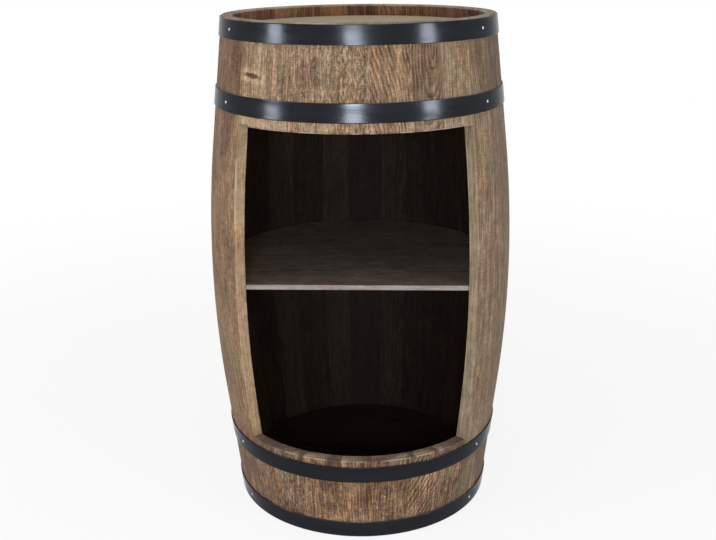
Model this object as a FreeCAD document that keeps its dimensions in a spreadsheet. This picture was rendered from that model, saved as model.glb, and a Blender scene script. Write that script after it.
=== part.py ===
"""Barrel bar cabinet: a coopered barrel with an open front, one shelf, two heads and four riveted hoops.

Millimetres. The origin is the centre of the barrel's base, +Z is up and the open front faces -Y.
Angles around the barrel are in degrees from the front, positive towards +X. A body that sits on the
barrel wall is drawn facing +X and then turned to its place. The two ends are alike: a piece at the top
end is the bottom end's piece turned over.
"""

import FreeCAD, Part

import math
import os

import Sketcher

# Driving dimensions: alias, value in mm (or as said), meaning.
SIZES = (
    ("height", 810, "overall height, stave end to stave end"),
    ("belly_radius", 249, "outer radius of the wood at mid height"),
    ("bend_radius", 1800, "radius to which the middle of each stave is bent"),
    ("straight_end", 200, "height of the unbent stretch at each stave end"),
    ("stave_thickness", 18, "stave thickness, square to its face"),
    ("stave_count", 26, "staves around the barrel"),
    ("opening_staves", 7, "staves cut away at the front"),
    ("seam_swing", 1, "how far the stave widths vary, degrees"),
    ("chime_bevel", 3, "bevel inside each stave end"),
    ("lip_height", 146, "height left standing below the opening"),
    ("brow_height", 150, "height left hanging above the opening"),
    ("head_recess", 18.6, "depth of each head below the stave ends"),
    ("head_thickness", 16, "thickness of the head boards"),
    ("head_boards", 5, "boards in each head"),
    ("tongue_thickness", 6, "thickness of the head's edge in its groove"),
    ("croze_depth", 5, "depth of the groove that holds a head"),
    ("head_play", 0.3, "clearance between a head and the staves"),
    ("dowel_radius", 4, "radius of the dowels between head boards"),
    ("dowel_length", 40, "length of those dowels"),
    ("dowel_spacing", 130, "distance between the two dowels of a joint"),
    ("shelf_height", 410, "height of the shelf's top face"),
    ("shelf_thickness", 8, "shelf thickness"),
    ("shelf_play", 0.6, "clearance between the shelf and the staves"),
    ("cleat_width", 44, "cleat width along the wall"),
    ("cleat_height", 24, "cleat height"),
    ("cleat_depth", 20, "how far a cleat stands off the wall"),
    ("cleat_play", 0.3, "clearance behind a cleat's curved back"),
    ("screw_spacing", 24, "distance between a cleat's two screws"),
    ("screw_radius", 2, "screw shank radius"),
    ("screw_head_radius", 4, "screw head radius"),
    ("screw_head_height", 2.4, "screw head height"),
    ("screw_bite", 12, "how deep a screw goes into its stave"),
    ("hoop_width", 28, "hoop width along the barrel's axis"),
    ("hoop_thickness", 1.5, "thickness of the hoop strip"),
    ("hoop_play", 0.3, "clearance between a hoop and the staves"),
    ("end_hoop_inset", 1.5, "distance of an end hoop from the stave ends"),
    ("quarter_hoop_inset", 107, "distance of a quarter hoop from the stave ends"),
    ("lap_length", 50, "overlap of a hoop's two ends"),
    ("rivet_spacing", 26, "distance between the two rivets of a lap"),
    ("rivet_radius", 2.5, "rivet shank radius"),
    ("rivet_head_radius", 4.5, "rivet head radius"),
    ("rivet_head_height", 2, "rivet head height"),
    ("nail_setback", 38, "distance of a hoop nail from the opening's edge, along the hoop"),
    ("nail_radius", 1.1, "nail shank radius"),
    ("nail_head_radius", 2.4, "nail head radius"),
    ("nail_head_height", 1.2, "nail head height"),
    ("nail_bite", 12, "how deep a nail goes into its stave"),
    ("hole_play", 0.3, "clearance around the shank of a fastener or dowel, and past its tip"),
)

# The seam pattern: whole waves of the width variation across the opening and across the rest.
FRONT_WAVES = 3
REAR_WAVES = 8
# A fastener's head narrows to this share of its radius at the top.
HEAD_TAPER = 0.6
# Layers of strip where a hoop's ends overlap.
LAP_LAYERS = 2
# The shelf cleats' staves: so many in from each side of the opening, and one of so many parts of the rest.
CLEAT_INSET = 1
CLEAT_PARTS = 3
# The two sides of what comes in pairs, with their sign.
SIDES = (("left", "-1"), ("right", "1"))
# Radius of the staves' inner faces along the bend.
INNER_BEND = "(Sizes.bend_radius - Sizes.stave_thickness)"
# The hoops: name, distance from their end of the barrel, and whether that is the top end.
HOOPS = (
    ("top_hoop", "Sizes.end_hoop_inset", True),
    ("upper_hoop", "Sizes.quarter_hoop_inset", True),
    ("lower_hoop", "Sizes.quarter_hoop_inset", False),
    ("bottom_hoop", "Sizes.end_hoop_inset", False),
)

doc = FreeCAD.newDocument("BarrelBarCabinet")
sizes = doc.addObject("Spreadsheet::Sheet", "Sizes")
worked = doc.addObject("Spreadsheet::Sheet", "Worked")
nodes = []


def fill(sheet, rows):
    """Write rows of (alias, cell text, meaning) to a sheet."""
    for row, (alias, content, meaning) in enumerate(rows, start=1):
        sheet.set(f"A{row}", meaning)
        sheet.set(f"B{row}", str(content))
        sheet.setAlias(f"B{row}", alias)


def value(text):
    """The number that an expression gives now."""
    found = sizes.evalExpression(text)
    return float(getattr(found, "Value", found))


def count(alias):
    return int(value(f"Sizes.{alias}"))


def inner_radius(z):
    """The inside radius of the wall at height z: bent in the middle, straight near the ends."""
    from_middle = f"abs({z} - Sizes.height / 2)"
    bent = f"Worked.bend_centre + sqrt(abs({INNER_BEND}^2 - {from_middle}^2))"
    straight = f"Worked.inner_end + (Sizes.height / 2 - {from_middle}) * Worked.slope"
    return f"({from_middle} < {INNER_BEND} * sin(Worked.bend_angle) ? {bent} : {straight})"


# What follows from the driving dimensions. The radii at "end" are at the stave ends.
WORKED = (
    (
        "bend_angle",
        "=asin((Sizes.height / 2 - Sizes.straight_end) / Sizes.bend_radius) / 1 deg",
        "how far the straight ends lean, degrees",
    ),
    ("slope", "=tan(Worked.bend_angle)", "radius gained per mm of height on a straight end"),
    ("bend_centre", "=Sizes.belly_radius - Sizes.bend_radius", "radius of the bend's centre"),
    (
        "outer_end",
        "=Worked.bend_centre + Sizes.bend_radius * cos(Worked.bend_angle)"
        " - Sizes.straight_end * Worked.slope",
        "outer radius at a stave end",
    ),
    ("wall", "=Sizes.stave_thickness / cos(Worked.bend_angle)", "level thickness of a straight end"),
    ("inner_end", "=Worked.outer_end - Worked.wall", "inner radius at a stave end"),
    ("pitch", "=360 / Sizes.stave_count", "mean stave width, degrees"),
    ("opening_half", "=Worked.pitch * Sizes.opening_staves / 2", "half the opening, degrees"),
    ("head_floor", "=Sizes.head_recess + Sizes.head_thickness", "a head's inner face, from the end"),
    ("head_middle", "=Sizes.head_recess + Sizes.head_thickness / 2", "a head's mid height"),
    ("tongue_low", "=Worked.head_middle - Sizes.tongue_thickness / 2", "tongue's side nearer the end"),
    ("tongue_high", "=Worked.head_middle + Sizes.tongue_thickness / 2", "tongue's other side"),
    ("croze_low", "=Worked.tongue_low - Sizes.head_play", "groove's side nearer the end"),
    ("croze_high", "=Worked.tongue_high + Sizes.head_play", "groove's other side"),
    (
        "croze_radius",
        "=Worked.inner_end + Worked.croze_low * Worked.slope + Sizes.croze_depth",
        "radius of the groove's bottom",
    ),
    (
        "head_radius",
        "=Worked.inner_end + Sizes.head_recess * Worked.slope - Sizes.head_play",
        "radius of a head's faces",
    ),
    ("tongue_radius", "=Worked.croze_radius - Sizes.head_play", "radius of a head's tongue"),
    ("board_width", "=2 * Worked.tongue_radius / Sizes.head_boards", "head board width"),
    ("shelf_under", "=Sizes.shelf_height - Sizes.shelf_thickness", "shelf's underside"),
    (
        "shelf_radius",
        f"=min({inner_radius('Worked.shelf_under')}; {inner_radius('Sizes.shelf_height')})"
        " - Sizes.shelf_play",
        "radius of the shelf's round edge",
    ),
    ("shelf_front", "=Worked.shelf_radius * cos(Worked.opening_half)", "axis to the shelf's front"),
    ("cleat_under", "=Worked.shelf_under - Sizes.cleat_height", "cleat's underside"),
    ("cleat_middle", "=Worked.shelf_under - Sizes.cleat_height / 2", "cleat's mid height"),
    (
        "cleat_back",
        f"=min({inner_radius('Worked.cleat_under')}; {inner_radius('Worked.shelf_under')})"
        " - Sizes.cleat_play",
        "radius of a cleat's curved back",
    ),
    ("cleat_face", "=Worked.cleat_back - Sizes.cleat_depth", "axis to a cleat's flat face"),
    (
        "screw_length",
        "=Sizes.cleat_depth + Sizes.cleat_play + Sizes.screw_bite",
        "screw length under the head",
    ),
    (
        "nail_length",
        "=Sizes.hoop_thickness + Sizes.hoop_play + Sizes.nail_bite",
        "nail length under the head",
    ),
    ("beyond", "=Sizes.belly_radius + Sizes.height", "a length that reaches out of the barrel"),
)

fill(sizes, SIZES)
doc.recompute()
fill(worked, WORKED)
doc.recompute()


def seam_angle(seam):
    """Angle of a seam from the front, in degrees. Seam 0 is the opening's -X edge."""
    opening, total = count("opening_staves"), count("stave_count")
    first, span, waves = 0, opening, FRONT_WAVES
    if seam > opening:
        first, span, waves = opening, total - opening, REAR_WAVES
    swing = f"Sizes.seam_swing * sin(360 * {waves} * {seam - first} / {span})"
    return f"(Worked.pitch * ({seam} - Sizes.opening_staves / 2) + {swing})"


def stave_angle(stave):
    """Angle of a stave's middle from the front. Stave 0 lies right of seam 0, seen from outside."""
    return f"(({seam_angle(stave)} + {seam_angle(stave + 1)}) / 2)"


def from_end(height, top):
    """The height above the floor of something that lies at a height from its own end."""
    return f"(Sizes.height - {height})" if top else f"({height})"


def placed(piece, angle, top=False):
    """Turn a piece that faces +X to an angle from the front, and over to the top end if asked."""
    lift, roll = ("Sizes.height", 180) if top else ("0", 0)
    piece.setExpression("Placement", f"placement(vector(0; 0; {lift}); rotation({angle} - 90; 0; {roll}))")


def keep(piece):
    """Make an object a node of the part."""
    nodes.append(piece)
    return piece


def new_body(name):
    body = doc.addObject("PartDesign::Body", name)
    body.Label = name
    return body


def new_sketch(body, name, plane, offset=None):
    """A sketch on one of the body's own origin planes, moved by an offset expression if given."""
    sketch = body.newObject("Sketcher::SketchObject", f"{body.Name}_{name}")
    sketch.AttachmentSupport = [(next(p for p in body.Origin.OriginFeatures if p.Role == plane), "")]
    sketch.MapMode = "FlatFace"
    if offset:
        sketch.setExpression("AttachmentOffset", offset)
    return sketch


def raised(height):
    """A placement at a height on the axis, unturned."""
    return f"placement(vector(0; 0; {height}); rotation(0; 0; 0))"


def fix(sketch, kind, where, text):
    """Add a dimension bound to an expression."""
    index = sketch.addConstraint(Sketcher.Constraint(kind, *where, value(text)))
    sketch.setExpression(f"Constraints[{index}]", text)


def arc_between(start, end, centre, radius):
    """The arc that runs counter-clockwise about a centre from one point to another."""
    from_angle, to_angle = (math.atan2(p.y - centre.y, p.x - centre.x) for p in (start, end))
    if to_angle < from_angle:
        to_angle += 2 * math.pi
    return Part.ArcOfCircle(Part.Circle(centre, FreeCAD.Vector(0, 0, 1), radius), from_angle, to_angle)


def outline(sketch, corners, arcs=None):
    """A closed outline, counter-clockwise through corners, each a pair of expressions.

    Side i runs from corner i to the next. arcs maps a side's number to (turn, centre, radius): turn is 1
    where the side runs counter-clockwise about its centre, and -1 where it runs clockwise.
    """
    arcs = arcs or {}
    points = [FreeCAD.Vector(value(across), value(up), 0) for across, up in corners]
    ends = []
    for side, point in enumerate(points):
        following = points[(side + 1) % len(points)]
        turn = 1
        if side in arcs:
            turn, centre, radius = arcs[side]
            pair = (point, following) if turn > 0 else (following, point)
            middle = FreeCAD.Vector(value(centre[0]), value(centre[1]), 0)
            sketch.addGeometry(arc_between(*pair, middle, value(radius)))
        else:
            sketch.addGeometry(Part.LineSegment(point, following))
        ends.append((1, 2) if turn > 0 else (2, 1))
    for side, (first, last) in enumerate(ends):
        after = (side + 1) % len(points)
        sketch.addConstraint(Sketcher.Constraint("Coincident", side, last, after, ends[after][0]))
        fix(sketch, "DistanceX", (-1, 1, side, first), corners[side][0])
        fix(sketch, "DistanceY", (-1, 1, side, first), corners[side][1])
        if side in arcs:
            fix(sketch, "Radius", (side,), arcs[side][2])


def rectangle(low, high):
    """Corners of an upright rectangle between two opposite ones."""
    return [low, (high[0], low[1]), high, (low[0], high[1])]


def revolve(body, sketch, angle):
    """Turn a sketch about the barrel's axis, half the angle each way."""
    turned = body.newObject("PartDesign::Revolution", f"{sketch.Name}_turned")
    turned.Profile = sketch
    turned.ReferenceAxis = (sketch, ["V_Axis"])
    turned.Midplane = True
    turned.setExpression("Angle", angle)


def pad(body, sketch, length):
    padded = body.newObject("PartDesign::Pad", f"{sketch.Name}_padded")
    padded.Profile = sketch
    padded.setExpression("Length", length)


def pocket(body, sketch, depth):
    """Cut a sketch into the body to a depth on both sides of its plane, and see that it cuts."""
    doc.recompute()
    before = body.Shape.Volume
    cut = body.newObject("PartDesign::Pocket", f"{sketch.Name}_cut")
    cut.Profile = sketch
    cut.Midplane = True
    cut.setExpression("Length", f"2 * ({depth})")
    doc.recompute()
    if not body.Shape.Volume < before:
        raise RuntimeError(f"{cut.Name} cuts nothing")


def around(radius, angle, height):
    """The place at a radius and an angle from the piece's own +X, as expressions."""
    return (f"{radius} * cos({angle})", f"{radius} * sin({angle})", height)


def bore(body, name, seat, angle, lean, radius, depth):
    """A round hole through a seat, square to the wall there.

    angle is the seat's angle from the piece's own +X, and lean is how far the hole's outer end dips.
    """
    x, y, z = seat
    offset = f"placement(vector({y}; {z}; {x}); rotation(0; {angle}; {lean}))"
    sketch = new_sketch(body, name, "YZ_Plane", offset)
    sketch.addGeometry(Part.Circle(FreeCAD.Vector(0, 0, 0), FreeCAD.Vector(0, 0, 1), value(radius)))
    sketch.addConstraint(Sketcher.Constraint("Coincident", 0, 3, -1, 1))
    fix(sketch, "Radius", (0,), radius)
    pocket(body, sketch, depth)


def fastener(name, kind, length, seat, angle, lean):
    """A nail, rivet or screw: a tapered head that stands on its seat, and a shank below it.

    kind is the start of its sizes' names. The head faces out of the barrel at angle 0 and lean 0.
    """
    head = doc.addObject("Part::Cone", f"{name}_head")
    head.setExpression("Radius1", f"Sizes.{kind}_head_radius")
    head.setExpression("Radius2", f"Sizes.{kind}_head_radius * {HEAD_TAPER}")
    head.setExpression("Height", f"Sizes.{kind}_head_height")
    shank = doc.addObject("Part::Cylinder", f"{name}_shank")
    shank.setExpression("Radius", f"Sizes.{kind}_radius")
    shank.setExpression("Height", length)
    shank.setExpression("Placement", raised(f"-({length})"))
    whole = doc.addObject("Part::Fuse", name)
    whole.Base = head
    whole.Tool = shank
    x, y, z = seat
    whole.setExpression("Placement", f"placement(vector({x}; {y}; {z}); rotation({angle}; 90 + {lean}; 0))")
    return whole


def group(name, members):
    """One node of several separate solids."""
    compound = doc.addObject("Part::Compound", name)
    compound.Label = name
    compound.Links = members
    return keep(compound)


# Hoops and the places of what goes through them


def hoop_middle(inset):
    """Mid height of a hoop, from its own end of the barrel."""
    return f"({inset} + Sizes.hoop_width / 2)"


def hoop_radius(height, layers):
    """Radius of the outer face of a hoop's first or second layer, or with 0 of its inner face."""
    strip = f"(Sizes.hoop_play + {layers} * Sizes.hoop_thickness) / cos(Worked.bend_angle)"
    return f"(Worked.outer_end + {height} * Worked.slope + {strip})"


def arc_angle(length, radius):
    """The angle that a length takes up around the barrel, in degrees."""
    return f"({length} / {radius} * 180 / pi)"


def hoop_seat(inset, angle, layers, top=False):
    """A place on a hoop's outer face at mid height, at an angle from +X."""
    middle = hoop_middle(inset)
    return around(hoop_radius(middle, layers), angle, from_end(middle, top))


def nail_angle(inset):
    """Angle of a hoop's nails from the front, to either side."""
    setback = arc_angle("Sizes.nail_setback", hoop_radius(hoop_middle(inset), 1))
    return f"(Worked.opening_half + {setback})"


def rivet_angle(inset):
    """Angle of a hoop's rivets from the middle of its lap, to either side."""
    return arc_angle("Sizes.rivet_spacing / 2", hoop_radius(hoop_middle(inset), LAP_LAYERS))


def lean(top):
    """How far the outward normal of an end's wall dips."""
    return "-Worked.bend_angle" if top else "Worked.bend_angle"


def hoop_layer(body, name, inset, layer, angle):
    """A band of the hoop's strip, leaning as the staves do."""
    low, high = inset, f"({inset} + Sizes.hoop_width)"
    sketch = new_sketch(body, name, "XZ_Plane")
    corners = [
        (hoop_radius(low, layer), low),
        (hoop_radius(low, layer + 1), low),
        (hoop_radius(high, layer + 1), high),
        (hoop_radius(high, layer), high),
    ]
    outline(sketch, corners)
    revolve(body, sketch, angle)


def hoop(name, inset, top):
    """A hoop with its riveted lap at the back, and a nail hole at each side of the opening."""
    body = new_body(name)
    hoop_layer(body, "ring", inset, 0, "360")
    lap = arc_angle("Sizes.lap_length", hoop_radius(hoop_middle(inset), LAP_LAYERS))
    hoop_layer(body, "lap", inset, 1, lap)
    holes = (
        ("rivet", rivet_angle(inset), LAP_LAYERS),
        ("nail", f"(180 - {nail_angle(inset)})", 1),
    )
    for kind, angle, layers in holes:
        for side, sign in SIDES:
            turn = f"{sign} * {angle}"
            seat = hoop_seat(inset, turn, layers)
            radius = f"Sizes.{kind}_radius + Sizes.hole_play"
            depth = f"({layers} + 1) * Sizes.hoop_thickness"
            bore(body, f"{kind}_{side}", seat, turn, lean(False), radius, depth)
    placed(body, "180", top)
    return keep(body)


def build_hoops():
    for name, inset, top in HOOPS:
        hoop(name, inset, top)


def build_rivets():
    """The rivets clench the two layers of each lap and end flush inside."""
    rivets = []
    for name, inset, top in HOOPS:
        for side, sign in SIDES:
            angle = f"(90 + {sign} * {rivet_angle(inset)})"
            seat = hoop_seat(inset, angle, LAP_LAYERS, top)
            length = f"{LAP_LAYERS} * Sizes.hoop_thickness"
            rivets.append(fastener(f"{name}_rivet_{side}", "rivet", length, seat, angle, lean(top)))
    group("hoop_rivets", rivets)


def build_nails():
    """The nails hold each hoop to the staves beside the opening."""
    nails = []
    for name, inset, top in HOOPS:
        for side, sign in SIDES:
            angle = f"({sign} * {nail_angle(inset)} - 90)"
            seat = hoop_seat(inset, angle, 1, top)
            nail = f"{name}_nail_{side}"
            nails.append(fastener(nail, "nail", "Worked.nail_length", seat, angle, lean(top)))
    group("hoop_nails", nails)


# Staves


def stave(name, number, top=False):
    """A stave from end to end: the wall's section, with a groove for each head, turned by its width."""
    body = new_body(name)
    sketch = new_sketch(body, "section", "XZ_Plane")

    def inside(height):
        return (f"Worked.inner_end + {height} * Worked.slope", height)

    low_end = [
        inside("Worked.croze_high"),
        ("Worked.croze_radius", "Worked.croze_high"),
        ("Worked.croze_radius", "Worked.croze_low"),
        inside("Worked.croze_low"),
        inside("Sizes.chime_bevel"),
        ("Worked.inner_end + Sizes.chime_bevel", "0"),
        ("Worked.outer_end", "0"),
        ("Worked.outer_end + Sizes.straight_end * Worked.slope", "Sizes.straight_end"),
    ]
    high_end = [(radius, f"Sizes.height - {height}") for radius, height in reversed(low_end)]
    inner_bend = f"Sizes.height / 2 - {INNER_BEND} * sin(Worked.bend_angle)"
    bend_ends = [inside(f"({inner_bend})")[0]] * 2
    heights = [f"Sizes.height - ({inner_bend})", inner_bend]
    corners = [*low_end, *high_end, *zip(bend_ends, heights)]
    centre = ("Worked.bend_centre", "Sizes.height / 2")
    outer_side, inner_side = len(low_end) - 1, len(corners) - 2
    bends = {outer_side: (1, centre, "Sizes.bend_radius"), inner_side: (-1, centre, INNER_BEND)}
    outline(sketch, corners, bends)
    revolve(body, sketch, f"{seam_angle(number + 1)} - {seam_angle(number)}")
    placed(body, stave_angle(number), top)
    return keep(body)


def front_stave(name, number, standing, top):
    """What is left of a stave that the opening cuts: its end, up to a level saw cut."""
    body = stave(name, number, top)
    sketch = new_sketch(body, "opening", "XZ_Plane")
    outline(sketch, rectangle(("0", standing), ("Worked.beyond", "Worked.beyond")))
    pocket(body, sketch, "Worked.beyond")


def cleat_staves():
    """The staves that carry the shelf cleats: two on each side, one near the front and one further back."""
    opening, total = count("opening_staves"), count("stave_count")
    steps = (CLEAT_INSET, (total - opening) // CLEAT_PARTS)
    return [opening + step for step in steps] + [total - 1 - step for step in steps]


def screw_bores(body, depth):
    """Holes for a cleat's two screws, level and side by side, in the cleat or in its stave."""
    for side, sign in SIDES:
        seat = ("Worked.cleat_face", f"{sign} * Sizes.screw_spacing / 2", "Worked.cleat_middle")
        bore(body, f"screw_{side}", seat, "0", "0", "Sizes.screw_radius + Sizes.hole_play", depth)


def nail_bores(body, number, sign):
    """Holes for the hoop nails in a stave beside the opening."""
    for name, inset, top in HOOPS:
        angle = f"({sign} * {nail_angle(inset)} - {stave_angle(number)})"
        seat = hoop_seat(inset, angle, 1, top)
        radius = "Sizes.nail_radius + Sizes.hole_play"
        depth = "Worked.nail_length + Sizes.hole_play"
        bore(body, f"{name}_nail", seat, angle, lean(top), radius, depth)


def build_staves():
    opening, total = count("opening_staves"), count("stave_count")
    for number in range(opening):
        front_stave(f"upper_front_stave_{number + 1}", number, "Sizes.brow_height", True)
        front_stave(f"lower_front_stave_{number + 1}", number, "Sizes.lip_height", False)
    for number in range(opening, total):
        body = stave(f"full_stave_{number - opening + 1:02d}", number)
        if number == opening:
            nail_bores(body, number, "1")
        if number == total - 1:
            nail_bores(body, number, "-1")
        if number in cleat_staves():
            screw_bores(body, "Worked.screw_length + Sizes.hole_play")


# Heads


def joint(number):
    """The place of a joint between head boards, across them. Joint 0 is the first board's outer edge."""
    return f"({number} * Worked.board_width - Worked.tongue_radius)"


def head_board(name, number, top):
    """One board of a head: a slice of a disc whose thinner edge stands in the staves' groove."""
    boards = count("head_boards")
    body = new_body(name)
    section = new_sketch(body, "section", "XZ_Plane")
    corners = [
        ("0", "Sizes.head_recess"),
        ("Worked.head_radius", "Sizes.head_recess"),
        ("Worked.head_radius", "Worked.tongue_low"),
        ("Worked.tongue_radius", "Worked.tongue_low"),
        ("Worked.tongue_radius", "Worked.tongue_high"),
        ("Worked.head_radius", "Worked.tongue_high"),
        ("Worked.head_radius", "Worked.head_floor"),
        ("0", "Worked.head_floor"),
    ]
    outline(section, corners)
    revolve(body, section, "360")
    edges = (
        ("near", number, ("-Worked.beyond", "-Worked.beyond"), ("Worked.beyond", joint(number))),
        ("far", number + 1, ("-Worked.beyond", joint(number + 1)), ("Worked.beyond", "Worked.beyond")),
    )
    for edge, seam, low, high in edges:
        if 0 < seam < boards:
            sketch = new_sketch(body, f"{edge}_edge", "XY_Plane")
            outline(sketch, rectangle(low, high))
            pocket(body, sketch, "Worked.beyond")
            for side, sign in SIDES:
                seat = (f"{sign} * Sizes.dowel_spacing / 2", joint(seam), "Worked.head_middle")
                radius = "Sizes.dowel_radius + Sizes.hole_play"
                depth = "Sizes.dowel_length / 2 + Sizes.hole_play"
                bore(body, f"{edge}_dowel_{side}", seat, "90", "0", radius, depth)
    placed(body, "90", top)
    keep(body)


def build_heads():
    """Both heads, and the dowels that join their boards."""
    dowels = []
    for head, top in (("top_head", True), ("bottom_head", False)):
        for number in range(count("head_boards")):
            head_board(f"{head}_board_{number + 1}", number, top)
        for seam in range(1, count("head_boards")):
            for side, sign in SIDES:
                dowel = doc.addObject("Part::Cylinder", f"{head}_dowel_{seam}_{side}")
                dowel.setExpression("Radius", "Sizes.dowel_radius")
                dowel.setExpression("Height", "Sizes.dowel_length")
                x = f"{sign} * Sizes.dowel_spacing / 2"
                y = f"{joint(seam)} - Sizes.dowel_length / 2"
                z = from_end("Worked.head_middle", top)
                dowel.setExpression("Placement", f"placement(vector({x}; {y}; {z}); rotation(0; 0; -90))")
                dowels.append(dowel)
    group("head_dowels", dowels)


# Shelf


def build_shelf():
    """A round shelf cut off straight at the opening."""
    body = new_body("shelf")
    sketch = new_sketch(body, "outline", "XY_Plane", raised("Worked.shelf_under"))
    corner = "Worked.shelf_radius * sin(Worked.opening_half)"
    corners = [(f"-{corner}", "-Worked.shelf_front"), (corner, "-Worked.shelf_front")]
    outline(sketch, corners, {1: (1, ("0", "0"), "Worked.shelf_radius")})
    pad(body, sketch, "Sizes.shelf_thickness")
    keep(body)


def cleat(name, number):
    """A wooden block with a curved back, which carries the shelf and is screwed to its stave."""
    body = new_body(name)
    sketch = new_sketch(body, "outline", "XY_Plane", raised("Worked.cleat_under"))
    side = "Sizes.cleat_width / 2"
    back = f"sqrt(Worked.cleat_back^2 - ({side})^2)"
    corners = rectangle(("Worked.cleat_face", f"-{side}"), (back, side))
    outline(sketch, corners, {1: (1, ("0", "0"), "Worked.cleat_back")})
    pad(body, sketch, "Sizes.cleat_height")
    screw_bores(body, "Sizes.cleat_depth + Sizes.hole_play")
    placed(body, stave_angle(number))
    keep(body)


def build_cleats():
    screws = []
    for index, number in enumerate(cleat_staves(), start=1):
        cleat(f"shelf_cleat_{index}", number)
        angle = f"({stave_angle(number)} - 90)"
        for side, sign in SIDES:
            aside = f"{sign} * Sizes.screw_spacing / 2"
            x = f"Worked.cleat_face * cos({angle}) - {aside} * sin({angle})"
            y = f"Worked.cleat_face * sin({angle}) + {aside} * cos({angle})"
            seat = (x, y, "Worked.cleat_middle")
            name = f"shelf_cleat_{index}_screw_{side}"
            screws.append(fastener(name, "screw", "Worked.screw_length", seat, f"({angle} + 180)", "0"))
    group("cleat_screws", screws)


def write_nodes():
    """Check every object, then write each node to a file named after it."""
    doc.recompute()
    for item in doc.Objects:
        if {"Invalid", "Error"} & set(item.State):
            raise RuntimeError(f"{item.Name} failed: {item.State}")
    for node in nodes:
        if node.Shape.isNull() or not node.Shape.isValid():
            raise RuntimeError(f"{node.Label} has no valid shape")
    os.makedirs("parts", exist_ok=True)
    for node in nodes:
        node.Shape.exportStep(os.path.join("parts", f"{node.Label}.step"))


build_staves()
build_hoops()
build_heads()
build_shelf()
build_cleats()
build_rivets()
build_nails()
write_nodes()
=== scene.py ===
import math

import bmesh
import bpy
import numpy as np
from bpy.props import FloatProperty, FloatVectorProperty, IntProperty, PointerProperty
from mathutils import Matrix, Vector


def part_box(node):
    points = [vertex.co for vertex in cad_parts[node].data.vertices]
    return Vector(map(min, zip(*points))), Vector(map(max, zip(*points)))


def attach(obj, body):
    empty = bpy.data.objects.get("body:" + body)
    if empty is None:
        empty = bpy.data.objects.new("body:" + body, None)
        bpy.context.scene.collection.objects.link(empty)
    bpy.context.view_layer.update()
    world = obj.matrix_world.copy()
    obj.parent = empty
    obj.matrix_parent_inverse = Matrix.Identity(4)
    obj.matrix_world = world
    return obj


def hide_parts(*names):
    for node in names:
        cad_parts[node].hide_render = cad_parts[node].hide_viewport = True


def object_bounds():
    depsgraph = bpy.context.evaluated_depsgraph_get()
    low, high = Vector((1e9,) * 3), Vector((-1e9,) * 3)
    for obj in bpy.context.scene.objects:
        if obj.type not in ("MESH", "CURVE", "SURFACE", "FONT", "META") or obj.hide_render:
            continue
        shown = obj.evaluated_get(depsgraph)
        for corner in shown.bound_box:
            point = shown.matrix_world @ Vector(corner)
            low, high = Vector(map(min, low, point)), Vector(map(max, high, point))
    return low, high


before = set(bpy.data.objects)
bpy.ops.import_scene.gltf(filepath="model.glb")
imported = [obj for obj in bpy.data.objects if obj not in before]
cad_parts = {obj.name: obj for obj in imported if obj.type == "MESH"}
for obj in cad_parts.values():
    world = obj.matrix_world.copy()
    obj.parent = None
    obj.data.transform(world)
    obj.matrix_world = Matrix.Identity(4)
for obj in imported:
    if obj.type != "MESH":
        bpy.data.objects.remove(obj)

bl_info = {
    "name": "Barrel Bar Cabinet",
    "version": (1, 0, 0),
    "blender": (4, 5, 0),
    "location": "3D View > Sidebar > Barrel",
    "description": "Staves, hoops, heads and shelf of a barrel cabinet, with their finishes and a stage",
    "category": "Add Mesh",
}

# The corners of the CAD model, kept before anything is added.
CAD_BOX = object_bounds()
BOTTOM, TOP = CAD_BOX[0].z, CAD_BOX[1].z
FULL_STAVES = 19
FRONT_STAVES = 7
HOOP_NAMES = ("bottom_hoop", "lower_hoop", "upper_hoop", "top_hoop")
HEAD_BOARDS = 5


def hexed(red, green, blue):
    """The linear colour of a display colour given as three numbers from 0 to 255, by the sRGB curve."""
    shown = np.array((red, green, blue)) / 255
    linear = np.where(shown <= 0.04045, shown / 12.92, ((shown + 0.055) / 1.055) ** 2.4)
    return tuple(float(channel) for channel in linear)


def colour(name, description, *shown):
    """A colour property whose default is given as a display colour."""
    return FloatVectorProperty(
        name=name, description=description, default=hexed(*shown), size=3, min=0, max=1, subtype="COLOR"
    )


def number(name, description, default, **settings):
    """A number property that isn't below zero."""
    return FloatProperty(name=name, description=description, default=default, min=0, **settings)


def length(name, description, default):
    """A length property in metres."""
    return number(name, description, default, precision=5, unit="LENGTH", subtype="DISTANCE")


def turning(name, description, default):
    """An angle property in radians."""
    return FloatProperty(name=name, description=description, default=default, subtype="ANGLE")


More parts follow.
